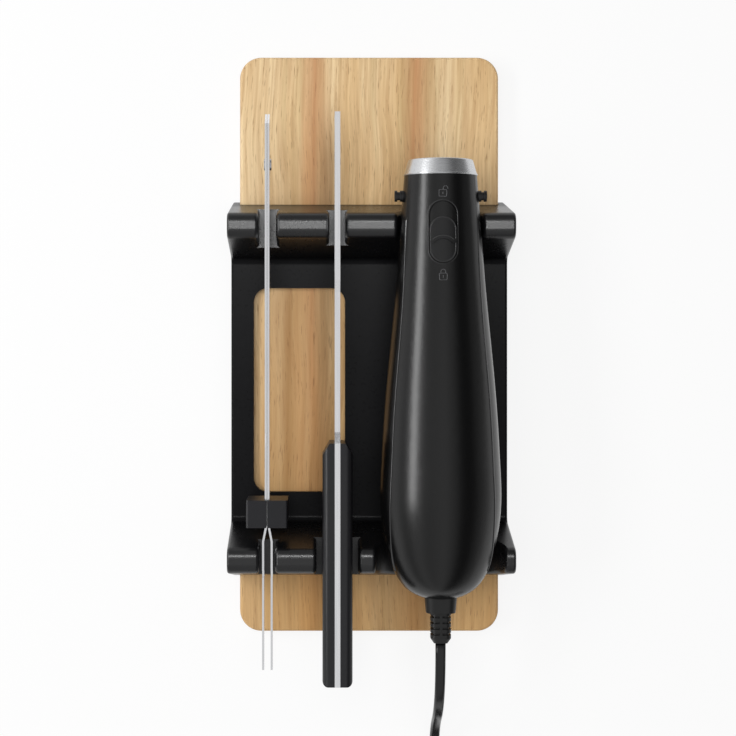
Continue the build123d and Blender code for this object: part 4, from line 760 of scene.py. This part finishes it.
def sky_share(axis):
    """The angle from straight up towards an axis, as a share of the half circle: 0.5 is straight up."""
    angle = maths(sky, "ARCTAN2", sky_axes.outputs[axis], sky_axes.outputs["Z"])
    return maths(sky, "MULTIPLY_ADD", angle, 1 / pi, 0.5)


def sky_ramp(share, stops):
    """Brightness by the sky share: stops of share and level, joined smoothly."""
    ramp = add(sky, "ValToRGB")
    ramp.color_ramp.interpolation = "EASE"
    for number, (place, level) in enumerate(stops):
        stop = ramp.color_ramp.elements[number] if number < 2 else ramp.color_ramp.elements.new(place)
        stop.position = place
        stop.color = (level, level, level, 1)
    link(sky, share, ramp.inputs["Fac"])
    return ramp.outputs["Color"]


# What glossy surfaces see: a pale room with a dark flag on the right and a darker end beyond the board
sky_across = sky_share("X")
sky_overhead = sky_ramp(sky_across, (
    (0.0, 1.0), (1.0, 0.6), (0.14, 0.35), (0.26, 0.8), (0.36, 0.5), (0.48, 0.64), (0.53, 0.76), (0.61, 0.5),
    (0.70, 0.05), (0.79, 0.05), (0.87, 0.3),
))
sky_beyond = sky_ramp(sky_across, ((0.0, 1.0), (1.0, 0.25), (0.28, 1.0), (0.5, 0.36), (0.7, 0.14)))
sky_end = map_value(sky, sky_share("Y"), 0.6, 0.72, smooth=True)
sky_path = add(sky, "LightPath").outputs
sky_soft = add(sky, "Background", {"Color": (1, 1, 1, 1), "Strength": 0.3})
sky_seen = add(sky, "Background", {"Strength": 1.0})
sky_white = add(sky, "Background", {"Color": (1, 1, 1, 1), "Strength": 1.0})
link(sky, mixed_colour(sky, sky_end, sky_overhead, sky_beyond), sky_seen.inputs["Color"])
sky_lit = mixed_shader(sky, sky_path["Is Glossy Ray"], sky_soft.outputs[0], sky_seen.outputs[0])
sky_shown = mixed_shader(sky, sky_path["Is Camera Ray"], sky_lit, sky_white.outputs[0])
link(sky, sky_shown, sky_output.inputs["Surface"])


def lamp(name, place, target, width, length, power):
    """A soft rectangular lamp at a place, turned to face a target."""
    data = bpy.data.lights.new(name, "AREA")
    data.shape = "RECTANGLE"
    data.size = width
    data.size_y = length
    data.energy = power
    made = bpy.data.objects.new(name, data)
    made.location = place
    away = np.array(place) - np.array(target)
    across = float(np.arctan2(away[0], away[2]))
    along = float(np.arctan2(-away[1], np.hypot(away[0], away[2])))
    made.rotation_euler = (along, across, 0)
    bpy.context.scene.collection.objects.link(made)
    return made


lamp("left_strip", (-0.866, 0.18, 0.877), (0.04, 0.1, 0.09), width=0.26, length=0.9, power=6.6)

# The rail light reaches the tray alone, and the fill lamp shows in no reflection
rail_light = lamp("rail_light", (-0.05, 0.34, 1.55), (-0.05, 0.12, 0.06), width=1.0, length=0.14, power=10.5)
rail_lit = bpy.data.collections.new("lit_by_rail_light")
rail_lit.objects.link(nodes["tray_deck"])
rail_light.light_linking.receiver_collection = rail_lit
fill = lamp("fill", (-0.2, 0.15, 1.7), (0.0, 0.0, 0.0), width=1.3, length=1.3, power=12.0)
fill.visible_glossy = False

bpy.context.scene.view_settings.view_transform = "Standard"
